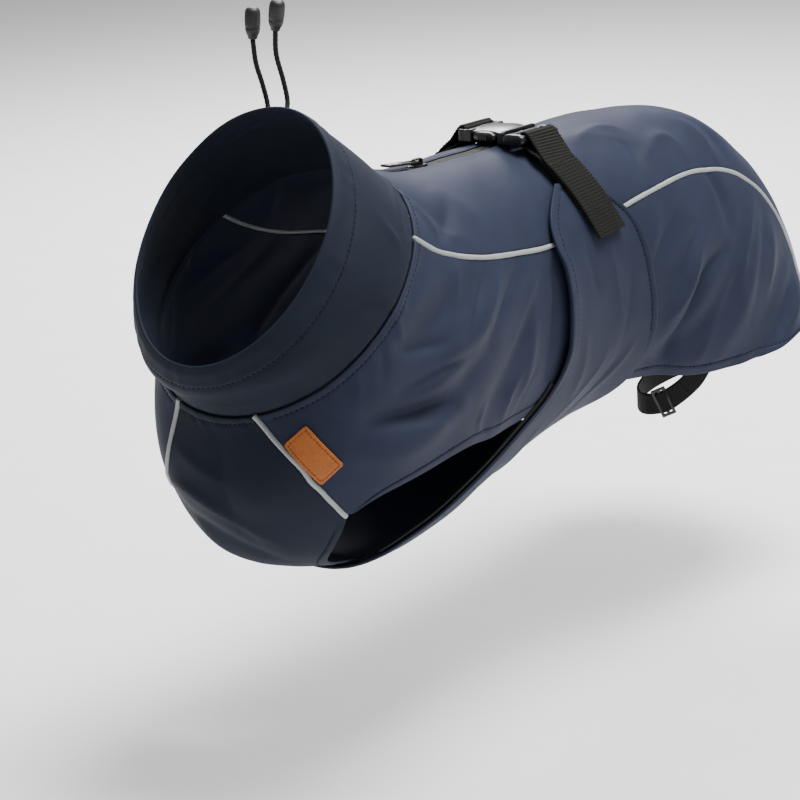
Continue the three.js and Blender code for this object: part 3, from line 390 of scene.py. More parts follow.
class CoatForm:
    """The coat's worn form with its folds. Every panel's points are worked out from it."""

    def __init__(self) -> None:
        """Works out the folds' centre lines once."""
        self.rings = np.array(RINGS, float)
        main = [(a, b, (a + c) / 2, (b + d) / 2, c, d, w, h) for a, b, c, d, w, h in MAIN_FOLDS]
        self.main = [self.fold_line(row) for row in main]
        self.fine = [self.fold_line((*row[:-1], row[-1] * CREASE_DEPTH)) for row in CREASES]
        self.flap = [self.fold_line(row) for row in FLAP_CREASES]

    def point(self, u: np.ndarray, deg: np.ndarray) -> np.ndarray:
        """Points of the bare form.

        Args:
            u: Ring numbers.
            deg: Angles from the top, + to the wearer's left.

        Returns:
            The points, in millimetres.
        """
        top_y, top_z, low_y, low_z, half, square = np.moveaxis(column(self.rings, u), -1, 0)
        turn = np.radians(deg)
        power = 2 / square
        across = np.sign(np.sin(turn)) * np.abs(np.sin(turn)) ** power
        upward = np.sign(np.cos(turn)) * np.abs(np.cos(turn)) ** power
        y = (top_y + low_y) / 2 + (top_y - low_y) / 2 * upward
        z = (top_z + low_z) / 2 + (top_z - low_z) / 2 * upward
        return np.stack([half * across, y, z], -1)

    def directions(self, u: np.ndarray, deg: np.ndarray) -> tuple[np.ndarray, np.ndarray, np.ndarray]:
        """Change per ring, change per degree and outward normal of the bare form."""
        along_u = (self.point(u + 0.02, deg) - self.point(u - 0.02, deg)) * 25
        along_deg = (self.point(u, deg + 0.4) - self.point(u, deg - 0.4)) * 1.25
        return along_u, along_deg, -unit(np.cross(along_u, along_deg))

    def fold_line(self, row: Sequence[float]) -> tuple[np.ndarray, float, float]:
        """A fold's centre line as points, with its half width and height."""
        u0, d0, u1, d1, u2, d2, width, height = row
        if d2 - d1 < -180:
            d2 += 360
        elif d2 - d1 > 180:
            d2 -= 360
        t = np.linspace(0, 1, 9)
        start, end = (1 - t) * (1 - 2 * t), t * (2 * t - 1)
        middle = 4 * t * (1 - t)
        u = start * u0 + middle * u1 + end * u2
        deg = start * d0 + middle * d1 + end * d2
        return self.point(u, deg), width, height

    @staticmethod
    def heights(
        points: np.ndarray, lines: Sequence[tuple[np.ndarray, float, float]], power: float = 2.0
    ) -> np.ndarray:
        """Summed height of folds at points: a soft bell across each line, fading at its ends.

        Args:
            points: The points, in millimetres.
            lines: Each fold's centre line, half width and height.
            power: 2 is a round fold, less is a sharper one.

        Returns:
            The heights.
        """
        flat = points.reshape(-1, 3)
        total = np.zeros(len(flat))
        for line, width, height in lines:
            reach = 3.2 * width
            near = ((flat > line.min(0) - reach) & (flat < line.max(0) + reach)).all(1)
            some = flat[near]
            if not len(some):
                continue
            best = np.full(len(some), 1e9)
            place = np.zeros(len(some))
            for i in range(len(line) - 1):
                step = line[i + 1] - line[i]
                along = np.clip((some - line[i]) @ step / (step @ step), 0, 1)
                far = np.linalg.norm(line[i] + along[:, None] * step - some, axis=1)
                nearer = far < best
                best[nearer] = far[nearer]
                place[nearer] = (i + along[nearer]) / (len(line) - 1)
            fade = np.sin(np.pi * np.clip(0.12 + 0.76 * place, 0, 1))
            total[near] += height * fade * np.exp(-((best / width) ** power))
        return total.reshape(points.shape[:-1])

    @staticmethod
    def unevenness(points: np.ndarray) -> np.ndarray:
        """Low uneven swell of worn cloth, from a few crossed waves."""
        x, y, z = np.moveaxis(points, -1, 0)
        swell = 0.34 * np.sin(x / 13 + z / 19 + 0.4) * np.sin(y / 17 - z / 23)
        swell += 0.26 * np.sin(y / 9.5 + x / 21 + 1.9) * np.sin(z / 11 + x / 31 + 0.7)
        swell += 0.16 * np.sin(y / 6.1 - z / 8.3) * np.sin(x / 7.9 + y / 27)
        return swell

    def lifted(self, u: np.ndarray, deg: np.ndarray, lift: np.ndarray | float, flap: bool = False) -> np.ndarray:
        """Points moved out of the panels' outer face.

        Args:
            u: Ring numbers.
            deg: Angles from the top.
            lift: Millimetres above the panels' outer face.
            flap: Adds the belly flap's own creases.

        Returns:
            The points, in millimetres.
        """
        u, deg = np.asarray(u, float), np.asarray(deg, float)
        base = self.point(u, deg)
        rise = lift + self.heights(base, self.main) + self.unevenness(base)
        if flap:
            rise = rise + np.maximum(self.heights(base, self.fine, CREASE_POWER), -0.3)
            rise = rise + self.heights(base, self.flap, CREASE_POWER)
        else:
            rise = rise + self.heights(base, self.fine, CREASE_POWER)
        return base + self.directions(u, deg)[2] * np.asarray(rise)[..., None]

    def sidestep(
        self, u: np.ndarray, deg: np.ndarray, du: np.ndarray, ddeg: np.ndarray, distance: float
    ) -> tuple[np.ndarray, np.ndarray]:
        """Places moved sideways from a line that heads along (du, ddeg), by a distance."""
        u, deg = np.array(u, float), np.array(deg, float)
        steps = max(1, math.ceil(abs(distance) / 3))
        for _ in range(steps):
            along_u, along_deg, normal = self.directions(u, deg)
            heading = unit(along_u * np.asarray(du)[..., None] + along_deg * np.asarray(ddeg)[..., None])
            side = np.cross(normal, heading) * (distance / steps)
            uu, ud, dd = (along_u**2).sum(-1), (along_u * along_deg).sum(-1), (along_deg**2).sum(-1)
            det = uu * dd - ud * ud
            su, sd = (along_u * side).sum(-1), (along_deg * side).sum(-1)
            u = u + (su * dd - sd * ud) / det
            deg = deg + (sd * uu - su * ud) / det
        return u, deg

    def side_piping(self, u: np.ndarray, side: int, away: float = 0.0) -> tuple[np.ndarray, np.ndarray]:
        """The side piping's places, or a line beside it towards the belly."""
        angle = lambda v: side * column(SIDE_PIPING, v - PIPING_FIRST)[..., 0]
        u = np.asarray(u, float)
        if not away:
            return u, angle(u)
        ahead, back = angle(u + 0.02), angle(u - 0.02)
        return self.sidestep(u, angle(u), np.full_like(u, 0.04), ahead - back, -side * away)

    def chest_piping(self, t: np.ndarray, side: int, away: float = 0.0) -> tuple[np.ndarray, np.ndarray]:
        """The chest piping's places at fractional rows, or a line beside it towards the flank."""
        table = np.array(CHEST_PIPING, float)[:, [0, 1 if side > 0 else 2]] * (1, side)
        t = np.asarray(t, float)
        here = self.straightened(table, t, side)
        if not away:
            return here[..., 0], here[..., 1]
        run = self.straightened(table, t + 0.02, side) - self.straightened(table, t - 0.02, side)
        return self.sidestep(here[..., 0], here[..., 1], run[..., 0], run[..., 1], side * away)

    @staticmethod
    def straightened(table: np.ndarray, t: np.ndarray, side: int) -> np.ndarray:
        """The chest piping's rows, with the left one drawn straight over the swell under it."""
        here = column(table, t)
        if side > 0:
            here[..., 1] += 0.9 * np.sin(np.pi * t) * smooth((2.6 - t) / 1.0)
        return here

    def chest_start(self, side: int, away: float) -> float:
        """The chest piping's row where the line beside it meets the collar seam."""
        low, high = -0.6, 0.9
        for _ in range(24):
            middle = (low + high) / 2
            if self.chest_piping(np.array(middle), side, away)[0] < PANEL_START:
                low = middle
            else:
                high = middle
        return high


FORM = CoatForm()


class MeshKit:
    """Makes Blender objects out of arrays of points in millimetres."""

    UNDERSIDE_SHIFT = 3.3

    @staticmethod
    def mesh(name: str, points: np.ndarray, faces: Sequence, weave: np.ndarray | None = None) -> bpy.types.Object:
        """A smooth shaded mesh object.

        Args:
            name: The object's name.
            points: Points in millimetres.
            faces: Faces as lists of point numbers.
            weave: Millimetres along and across the cloth at each point.

        Returns:
            The object, linked to the scene.
        """
        data = bpy.data.meshes.new(name)
        data.from_pydata((points * MM).tolist(), [], faces if isinstance(faces, list) else faces.tolist())
        data.validate()
        if weave is not None:
            layer = data.attributes.new("weave", "FLOAT_VECTOR", "POINT")
            layer.data.foreach_set("vector", weave.astype(np.float32).ravel())
        data.shade_smooth()
        return MeshKit.linked(name, data)

    @staticmethod
    def linked(name: str, data: bpy.types.Mesh) -> bpy.types.Object:
        """A new object for a mesh, linked to the scene."""
        made = bpy.data.objects.new(name, data)
        bpy.context.scene.collection.objects.link(made)
        return made

    @staticmethod
    def ring_quads(rings: int, sides: int) -> list[list[int]]:
        """The faces between neighbouring closed rings of points."""
        faces = []
        for k in range(rings - 1):
            for s in range(sides):
                n = (s + 1) % sides
                faces.append([k * sides + s, k * sides + n, (k + 1) * sides + n, (k + 1) * sides + s])
        return faces

    @classmethod
    def shell(
        cls,
        name: str,
        outer: np.ndarray,
        inner: np.ndarray,
        wrap: bool = False,
        present: np.ndarray | None = None,
    ) -> bpy.types.Object:
        """A closed shell between an outer and an inner grid of points.

        Args:
            name: The object's name.
            outer: Outer points, rows by columns.
            inner: Inner points, rows by columns.
            wrap: Joins the last column to the first.
            present: Which cells exist.

        Returns:
            The object.
        """
        rows, cols = outer.shape[:2]
        cells = cols if wrap else cols - 1
        has = np.ones((rows - 1, cells), bool) if present is None else present
        i, j = np.nonzero(has)
        right = (j + 1) % cols
        corners = np.stack([i * cols + j, i * cols + right, (i + 1) * cols + right, (i + 1) * cols + j], 1)
        half = rows * cols
        quads = [corners, corners[:, ::-1] + half]
        pad = np.zeros((rows + 1, cells + 2), bool)
        pad[1:-1, 1:-1] = has
        if wrap:
            pad[1:-1, 0], pad[1:-1, -1] = has[:, -1], has[:, 0]
        for side, (di, dj) in enumerate(((-1, 0), (0, 1), (1, 0), (0, -1))):
            open_side = ~pad[i + 1 + di, j + 1 + dj]
            a, b = corners[open_side, side], corners[open_side, (side + 1) % 4]
            quads.append(np.stack([b, a, a + half, b + half], 1))
        faces = np.concatenate(quads)
        points = np.concatenate([outer.reshape(-1, 3), inner.reshape(-1, 3)])
        along, across = lengths(outer, 0), lengths(outer, 1)
        weave = np.stack([along, across, np.zeros_like(along)], -1).reshape(-1, 3)
        weave = np.concatenate([weave, weave + cls.UNDERSIDE_SHIFT])
        used, index = np.unique(faces, return_inverse=True)
        faces, points, weave = index.reshape(faces.shape), points[used], weave[used]
        a, b, c = points[faces[:, 0]], points[faces[:, 1]], points[faces[:, 2]]
        d = points[faces[:, 3]]
        volume = (a * np.cross(b, c)).sum() + (a * np.cross(c, d)).sum()
        if volume < 0:
            faces = faces[:, ::-1]
        return cls.mesh(name, points, faces, weave)

    @classmethod
    def tube(
        cls, name: str, path: np.ndarray, radius: Callable[[np.ndarray, np.ndarray], np.ndarray] | float, sides: int
    ) -> bpy.types.Object:
        """A closed tube along a path.

        Args:
            name: The object's name.
            path: Centre points in millimetres.
            radius: The radius, or a function of length and turn that gives it.
            sides: Points round the tube.

        Returns:
            The object.
        """
        points, faces, weave = cls.tube_parts(path, radius, sides)
        return cls.mesh(name, points, faces, weave)

    @staticmethod
    def tube_parts(
        path: np.ndarray, radius: Callable[[np.ndarray, np.ndarray], np.ndarray] | float, sides: int
    ) -> tuple[np.ndarray, list, np.ndarray]:
        """Points, faces and weave coordinates of a closed tube along a path."""
        tangent = unit(np.gradient(path, axis=0))
        side = np.zeros_like(path)
        start = np.cross(tangent[0], (0.13, 0.31, 0.94))
        side[0] = start / np.linalg.norm(start)
        for k in range(1, len(path)):
            flat = side[k - 1] - tangent[k] * (side[k - 1] @ tangent[k])
            side[k] = flat / np.linalg.norm(flat)
        other = np.cross(tangent, side)
        turn = np.linspace(0, 2 * np.pi, sides, endpoint=False)
        length = lengths(path)
        size = radius(length[:, None], turn[None]) if callable(radius) else np.full((len(path), sides), radius)
        spread = side[:, None] * np.cos(turn)[None, :, None] + other[:, None] * np.sin(turn)[None, :, None]
        rings = path[:, None] + spread * size[..., None]
        points = np.concatenate([rings.reshape(-1, 3), path[[0, -1]]])
        around = np.broadcast_to(turn * 4, (len(path), sides))
        weave = np.stack([np.broadcast_to(length[:, None], around.shape), around, 0 * around], -1).reshape(-1, 3)
        weave = np.concatenate([weave, weave[[0, -1]]])
        faces = MeshKit.ring_quads(len(path), sides)
        first, last = len(path) * sides, len(path) * sides + 1
        base = (len(path) - 1) * sides
        for s in range(sides):
            n = (s + 1) % sides
            faces.append([first, n, s])
            faces.append([last, base + s, base + n])
        return points, faces, weave

    @classmethod
    def lathe(cls, name: str, profile: np.ndarray, place: Matrix, sides: int = 40) -> bpy.types.Object:
        """A turned piece from (radius, height) rows, its axis along the matrix's Z."""
        turn = np.linspace(0, 2 * np.pi, sides, endpoint=False)
        radius, height = profile[:, 0], profile[:, 1]
        x, y = radius[:, None] * np.cos(turn), radius[:, None] * np.sin(turn)
        points = np.stack([x, y, np.broadcast_to(height[:, None], x.shape)], -1).reshape(-1, 3)
        turned = np.array(place.to_3x3()) @ points.T
        points = turned.T + np.array(place.translation)
        made = cls.mesh(name, points, cls.ring_quads(len(profile), sides))
        kit = bmesh.new()
        kit.from_mesh(made.data)
        bmesh.ops.remove_doubles(kit, verts=kit.verts, dist=1e-6)
        bmesh.ops.recalc_face_normals(kit, faces=kit.faces)
        kit.to_mesh(made.data)
        kit.free()
        made.data.shade_smooth()
        return made

    @classmethod
    def moulded(
        cls, name: str, solids: Sequence[bpy.types.Object], voxel: float, rounds: int
    ) -> bpy.types.Object:
        """Several overlapping solids melted into one moulding with softened edges.

        Args:
            name: The new object's name.
            solids: The solids, which are used up.
            voxel: Grid size of the melt, in millimetres.
            rounds: Rounds of softening.

        Returns:
            The moulding.
        """
        kit = bmesh.new()
        for piece in solids:
            kit.from_mesh(piece.data)
            bpy.data.objects.remove(piece)
        data = bpy.data.meshes.new(name)
        bmesh.ops.triangulate(kit, faces=kit.faces)
        kit.to_mesh(data)
        kit.free()
        made = cls.linked(name, data)
        melt = made.modifiers.new("melt", "REMESH")
        melt.mode, melt.voxel_size, melt.adaptivity = "VOXEL", voxel * MM, 0.0
        soften = made.modifiers.new("soften", "SMOOTH")
        soften.factor, soften.iterations = 0.5, rounds
        cls.apply(made)
        made.data.shade_smooth()
        return made

    @staticmethod
    def apply(made: bpy.types.Object) -> None:
        """Turns an object's modifiers into mesh."""
        bpy.context.view_layer.update()
        held = made.evaluated_get(bpy.context.evaluated_depsgraph_get())
        data = bpy.data.meshes.new_from_object(held)
        made.modifiers.clear()
        made.data = data

    @staticmethod
    def block(size: Sequence[float], place: Sequence[float]) -> bpy.types.Object:
        """A plain block for a moulding, by its size and middle."""
        kit = bmesh.new()
        bmesh.ops.create_cube(kit, size=1.0)
        for vertex in kit.verts:
            vertex.co = Vector([(vertex.co[k] * size[k] + place[k]) * MM for k in range(3)])
        data = bpy.data.meshes.new("block")
        kit.to_mesh(data)
        kit.free()
        return MeshKit.linked("block", data)

    @classmethod
    def bulb(cls, size: Sequence[float], place: Sequence[float], power: float = 0.72) -> bpy.types.Object:
        """A bulging form between an egg and a block, for a moulding, by its size and middle."""
        rings, sides = 15, 28
        high = np.linspace(-np.pi / 2, np.pi / 2, rings)[:, None]
        turn = np.linspace(0, 2 * np.pi, sides, endpoint=False)[None]
        bent = lambda v: np.sign(v) * np.abs(v) ** power
        x = bent(np.cos(high)) * bent(np.cos(turn)) * size[0] / 2
        y = bent(np.cos(high)) * bent(np.sin(turn)) * size[1] / 2
        z = bent(np.sin(high)) * np.ones_like(turn) * size[2] / 2
        points = (np.stack([x, y, z], -1) + np.array(place)).reshape(-1, 3)
        return cls.mesh("bulb", points, cls.ring_quads(rings, sides))

    @staticmethod
    def node_copy(node: str) -> bpy.types.Object:
        """A copy of a CAD node's solid, for a moulding."""
        return MeshKit.linked(node + "_copy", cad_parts[node].data.copy())


class Thread:
    """Sewing thread: short raised stitches along seam lines, gathered into one piece."""

    def __init__(self, pitch: float = 3.0, stitch: float = 2.1, thick: float = 0.62) -> None:
        """Sets the stitch length, its spacing and its thickness."""
        self.pitch, self.stitch, self.thick = pitch, stitch, thick
        self.points: list[np.ndarray] = []
        self.faces: list[np.ndarray] = []
        self.count = 0

    def sew(self, path: np.ndarray, normal: np.ndarray) -> None:
        """Adds stitches along a path that lies on the cloth.

        Args:
            path: Points in millimetres.
            normal: The cloth's outward direction at each point.
        """
        length = lengths(path)
        places = np.arange(self.pitch / 2, length[-1] - self.pitch / 2, self.pitch)
        if not len(places):
            return
        pick = lambda rows, at: np.stack([np.interp(at, length, rows[:, k]) for k in range(3)], -1)
        middle = pick(path, places)
        ahead = unit(pick(path, places + 0.4) - pick(path, places - 0.4))
        up = unit(pick(normal, places))
        side = unit(np.cross(ahead, up))
        rings = np.array([(-1, 0.25, -0.5), (-0.72, 0.8, -0.05), (0, 1, 0.2), (0.72, 0.8, -0.05), (1, 0.25, -0.5)])
        turn = np.linspace(0, 2 * np.pi, 6, endpoint=False)
        local = []
        for along, wide, high in rings:
            for angle in turn:
                local.append((along * self.stitch / 2, np.cos(angle) * wide, np.sin(angle) * wide * 0.8 + high))
        local = np.array(local) * (1, self.thick / 2, self.thick / 2)
        made = middle[:, None] + ahead[:, None] * local[None, :, :1]
        made = made + side[:, None] * local[None, :, 1:2] + up[:, None] * local[None, :, 2:3]
        quads = MeshKit.ring_quads(len(rings), len(turn))
        quads += [(0, 3, 2, 1), (0, 5, 4, 3), (24, 25, 26, 27), (24, 27, 28, 29)]
        faces = np.array(quads)[None] + (np.arange(len(made)) * len(local))[:, None, None] + self.count
        self.points.append(made.reshape(-1, 3))
        self.faces.append(faces.reshape(-1, 4))
        self.count += len(local) * len(made)

    def piece(self, name: str) -> bpy.types.Object:
        """All stitches as one object."""
        return MeshKit.mesh(name, np.concatenate(self.points), np.concatenate(self.faces))


class Coordinate(Enum):
    """What a finish's pattern is laid out on."""

    WEAVE = "weave"
    OBJECT = "object"


class Shader:
    """One procedural material around a Principled shader."""

    def __init__(self, name: str, roughness: float, specular: float, coordinate: Coordinate) -> None:
        """Starts the material with its even values and its pattern coordinates in millimetres."""
        self.material = bpy.data.materials.new(name)
        self.material.use_nodes = True
        self.tree = self.material.node_tree
        self.main = self.tree.nodes["Principled BSDF"]
        self.main.inputs["Roughness"].default_value = roughness
        self.main.inputs["Specular IOR Level"].default_value = specular
        if coordinate is Coordinate.WEAVE:
            source = self.tree.nodes.new("ShaderNodeAttribute")
            source.attribute_name = "weave"
            self.place = source.outputs["Vector"]
        else:
            source = self.tree.nodes.new("ShaderNodeTexCoord")
            scale = self.tree.nodes.new("ShaderNodeMapping")
            scale.inputs["Scale"].default_value = (1000, 1000, 1000)
            self.tree.links.new(source.outputs["Object"], scale.inputs["Vector"])
            self.place = scale.outputs["Vector"]

    def noise(self, per_mm: float, detail: float = 2.0, roughness: float = 0.5) -> bpy.types.NodeSocket:
        """A noise pattern with so many spots in a millimetre."""
        made = self.tree.nodes.new("ShaderNodeTexNoise")
        made.inputs["Scale"].default_value = per_mm
        made.inputs["Detail"].default_value = detail
        made.inputs["Roughness"].default_value = roughness
        self.tree.links.new(self.place, made.inputs["Vector"])
        return made.outputs["Fac"]

    def ribs(self, pitch: float, axis: str, wobble: float = 0.0) -> bpy.types.NodeSocket:
        """Parallel ribs a pitch apart, in millimetres, counted along an axis."""
        made = self.tree.nodes.new("ShaderNodeTexWave")
        made.wave_type, made.bands_direction = "BANDS", axis
        made.inputs["Scale"].default_value = math.pi / 10 / pitch
        made.inputs["Distortion"].default_value = wobble
        made.inputs["Detail"].default_value = 1.0
        self.tree.links.new(self.place, made.inputs["Vector"])
        return made.outputs["Fac"]

    def cells(self, per_mm: float) -> bpy.types.NodeSocket:
        """A cell pattern, as of leather grain, with so many cells in a millimetre."""
        made = self.tree.nodes.new("ShaderNodeTexVoronoi")
        made.inputs["Scale"].default_value = per_mm
        self.tree.links.new(self.place, made.inputs["Vector"])
        return made.outputs["Distance"]

    def math(self, operation: str, a: bpy.types.NodeSocket, b: bpy.types.NodeSocket | float) -> bpy.types.NodeSocket:
        """A sum, product or other calculation of two patterns."""
        made = self.tree.nodes.new("ShaderNodeMath")
        made.operation = operation
        self.tree.links.new(a, made.inputs[0])
        if isinstance(b, (int, float)):
            made.inputs[1].default_value = b
        else:
            self.tree.links.new(b, made.inputs[1])
        return made.outputs["Value"]

    def colours(self, pattern: bpy.types.NodeSocket, stops: Sequence[tuple[float, Sequence[float]]]) -> None:
        """Colours the surface from a pattern, through colour stops."""
        ramp = self.tree.nodes.new("ShaderNodeValToRGB")
        elements = ramp.color_ramp.elements
        while len(elements) < len(stops):
            elements.new(0.5)
        for element, (place, colour) in zip(elements, stops):
            element.position = place
            element.color = (*colour, 1.0)
        self.tree.links.new(pattern, ramp.inputs["Fac"])
        self.tree.links.new(ramp.outputs["Color"], self.main.inputs["Base Color"])

    def dull(self, pattern: bpy.types.NodeSocket, low: float, high: float) -> None:
        """Roughness that follows a pattern between two values."""
        made = self.tree.nodes.new("ShaderNodeMapRange")
        made.inputs["To Min"].default_value = low
        made.inputs["To Max"].default_value = high
        self.tree.links.new(pattern, made.inputs["Value"])
        self.tree.links.new(made.outputs["Result"], self.main.inputs["Roughness"])

    def relief(self, pattern: bpy.types.NodeSocket, depth: float, strength: float = 1.0) -> None:
        """Fine relief of a pattern, its depth in millimetres."""
        made = self.tree.nodes.new("ShaderNodeBump")
        made.inputs["Distance"].default_value = depth * MM
        made.inputs["Strength"].default_value = strength
        self.tree.links.new(pattern, made.inputs["Height"])
        self.tree.links.new(made.outputs["Normal"], self.main.inputs["Normal"])

    def sheen(self, weight: float, roughness: float, tint: Sequence[float]) -> None:
        """An even sheen of fine fibre."""
        self.main.inputs["Sheen Weight"].default_value = weight
        self.main.inputs["Sheen Roughness"].default_value = roughness
        self.main.inputs["Sheen Tint"].default_value = (*tint, 1.0)


def shade(colour: Sequence[float], factor: float) -> tuple[float, float, float]:
    """A colour made lighter or darker."""
    return tuple(min(1.0, c * factor) for c in colour)


@dataclass(frozen=True)
class Finish:
    """What every finish has: its record slot and its base colour (linear)."""

    slot: str
    colour: tuple[float, float, float]

    def material(self) -> bpy.types.Material:
        """The material, made once for each finish."""
        made = bpy.data.materials.get(self.name())
        return made or self.make()

    def name(self) -> str:
        """The material's name."""
        return f"{type(self).__name__}_{self.slot}_{hash_name(self.colour)}"

    def make(self) -> bpy.types.Material:
        """Makes the material. Each kind of finish has its own."""
        raise NotImplementedError

    def dress(self, piece: bpy.types.Object, body: str = BODY, replaces: Sequence[str] = ()) -> bpy.types.Object:
        """Puts the finish, whose material is named after its slot, on a piece, ties the piece to its body and hides the
        CAD nodes it stands for.

        Args:
            piece: The object.
            body: The CAD body it rides on.
            replaces: The CAD nodes it stands for.

        Returns:
            The same object.
        """
        piece.data.materials.clear()
        piece.data.materials.append(self.material())
        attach(piece, body)
        if replaces:
            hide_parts(*replaces)
        return piece


def hash_name(colour: Sequence[float]) -> str:
    """A short word for a colour, for material names."""
    return "".join(f"{int(round(c * 999)):03d}" for c in colour)


@dataclass(frozen=True)
class Softshell(Finish):
    """Fine plain weave with a smooth, slightly sheeny face."""

    rough: float = 0.56

    def make(self) -> bpy.types.Material:
        """Weave, faint mottling and a low sheen."""
        shader = Shader(self.name(), self.rough, 0.07, Coordinate.WEAVE)
        fine, patch = shader.noise(2.4, 3.0, 0.6), shader.noise(0.045, 2.0)
        mottle = shader.math("ADD", shader.math("MULTIPLY", fine, 0.45), shader.math("MULTIPLY", patch, 0.55))
        shader.colours(mottle, ((0.3, shade(self.colour, 0.86)), (0.7, shade(self.colour, 1.16))))
        weave = shader.math("MULTIPLY", shader.ribs(0.42, "X", 0.6), shader.ribs(0.42, "Y", 0.6))
        face = shader.math("ADD", shader.math("MULTIPLY", weave, 0.5), shader.math("MULTIPLY", fine, 0.9))
        shader.relief(face, 0.05, 0.55)
        shader.dull(fine, self.rough - 0.05, self.rough + 0.07)
        shader.sheen(0.025, 0.4, (0.62, 0.68, 0.85))
        return shader.material


@dataclass(frozen=True)
class Ribbed(Finish):
    """Webbing or elastic: yarn ribs across the strip."""

    pitch: float = 1.5
    axis: str = "X"
    rough: float = 0.72
    # The yarn crowns are painted up to this many times the base colour: a painted highlight.
    light: float = 2.2

    def make(self) -> bpy.types.Material:
        """Yarns in two directions, their crowns painted lighter as painted highlight and the hollows between them
        darker as painted shade.
        """
        shader = Shader(self.name(), self.rough, 0.12, Coordinate.WEAVE)
        cross = "Y" if self.axis == "X" else "X"
        yarn = shader.math("MULTIPLY", shader.ribs(self.pitch, self.axis, 0.25), shader.ribs(0.9, cross, 0.6))
        fibre = shader.noise(3.2, 4.0, 0.65)
        mixed = shader.math("ADD", shader.math("MULTIPLY", yarn, 0.6), shader.math("MULTIPLY", fibre, 0.4))
        # Painted highlight on the yarn crowns and painted shade in the hollows between them, mixed with fibre tone that
        # differs at random.
        shader.colours(mixed, ((0.2, shade(self.colour, 0.4)), (0.72, shade(self.colour, self.light))))
        shader.relief(mixed, 0.25, 0.8)
        shader.dull(fibre, self.rough - 0.08, self.rough + 0.1)
        shader.sheen(0.03, 0.5, (0.8, 0.82, 0.75))
        return shader.material


@dataclass(frozen=True)
class Beaded(Finish):
    """Reflective piping cloth: tiny glass beads on a grey ground."""

    def make(self) -> bpy.types.Material:
        """Fine grain with small lighter beads."""
        shader = Shader(self.name(), 0.42, 0.55, Coordinate.WEAVE)
        beads, patch = shader.noise(4.5, 2.0, 0.7), shader.noise(0.12, 2.0)
        mixed = shader.math("ADD", shader.math("MULTIPLY", beads, 0.5), shader.math("MULTIPLY", patch, 0.5))
        shader.colours(mixed, ((0.3, shade(self.colour, 0.82)), (0.72, shade(self.colour, 1.2))))
        shader.relief(beads, 0.04, 0.5)
        shader.dull(beads, 0.36, 0.52)
        return shader.material


@dataclass(frozen=True)
class Moulded(Finish):
    """Moulded plastic or lacquered metal with a faint grain."""

    rough: float = 0.3
    grain: float = 0.02
    metallic: float = 0.0

    def make(self) -> bpy.types.Material:
        """Faint mould grain and slightly uneven gloss."""
        shader = Shader(self.name(), self.rough, 0.5, Coordinate.OBJECT)
        fine, patch = shader.noise(3.0, 3.0, 0.6), shader.noise(0.16, 2.0)
        mixed = shader.math("ADD", shader.math("MULTIPLY", fine, 0.3), shader.math("MULTIPLY", patch, 0.7))
        shader.colours(mixed, ((0.3, shade(self.colour, 0.85)), (0.7, shade(self.colour, 1.25))))
        shader.relief(fine, self.grain, 0.4)
        shader.dull(mixed, self.rough - 0.06, self.rough + 0.08)
        shader.main.inputs["Metallic"].default_value = self.metallic
        return shader.material


@dataclass(frozen=True)
class Leather(Finish):
    """Smooth grained leather with darker pores."""

    def make(self) -> bpy.types.Material:
        """Cell grain, pores and a patchy tone."""
        shader = Shader(self.name(), 0.55, 0.22, Coordinate.WEAVE)
        grain, patch = shader.cells(1.7), shader.noise(0.14, 3.0)
        fine = shader.noise(2.2, 4.0, 0.6)
        mixed = shader.math("ADD", shader.math("MULTIPLY", grain, 0.3), shader.math("MULTIPLY", patch, 0.45))
        mixed = shader.math("ADD", mixed, shader.math("MULTIPLY", fine, 0.25))
        shader.colours(mixed, ((0.3, shade(self.colour, 0.72)), (0.7, shade(self.colour, 1.22))))
        shader.relief(shader.math("ADD", grain, shader.math("MULTIPLY", fine, 0.5)), 0.12, 0.6)
        shader.dull(fine, 0.5, 0.66)
        return shader.material


@dataclass(frozen=True)
class Braid(Finish):
    """Round braided cord or sewing thread."""

    rough: float = 0.65
    gloss: float = 0.1
    fuzz: float = 0.02

    def make(self) -> bpy.types.Material:
        """Fibre grain with lighter strands."""
        shader = Shader(self.name(), self.rough, self.gloss, Coordinate.OBJECT)
        fibre = shader.noise(3.5, 4.0, 0.65)
        shader.colours(fibre, ((0.3, shade(self.colour, 0.6)), (0.72, shade(self.colour, 1.7))))
        shader.relief(fibre, 0.12, 0.7)
        shader.sheen(self.fuzz, 0.5, (0.8, 0.8, 0.85))
        return shader.material


NAVY = Softshell("navy_softshell", (0.0200, 0.0240, 0.0430))
# Collar and chest cloth: the navy softshell with a slightly different tint, made darker as painted shade for cloth that
# faces away from the light.
SHADED_NAVY = Softshell("collar_softshell", (0.0125, 0.0160, 0.0255), 0.58)
# Sewing thread is painted darker than the cloth as painted shade in the stitch grooves; the collar and chest thread is
# darker still, as painted shade.
SHADED_NAVY_THREAD = Braid("navy_softshell", (0.005, 0.006, 0.012))
SHADED_COLLAR_THREAD = Braid("collar_softshell", (0.004, 0.005, 0.009))
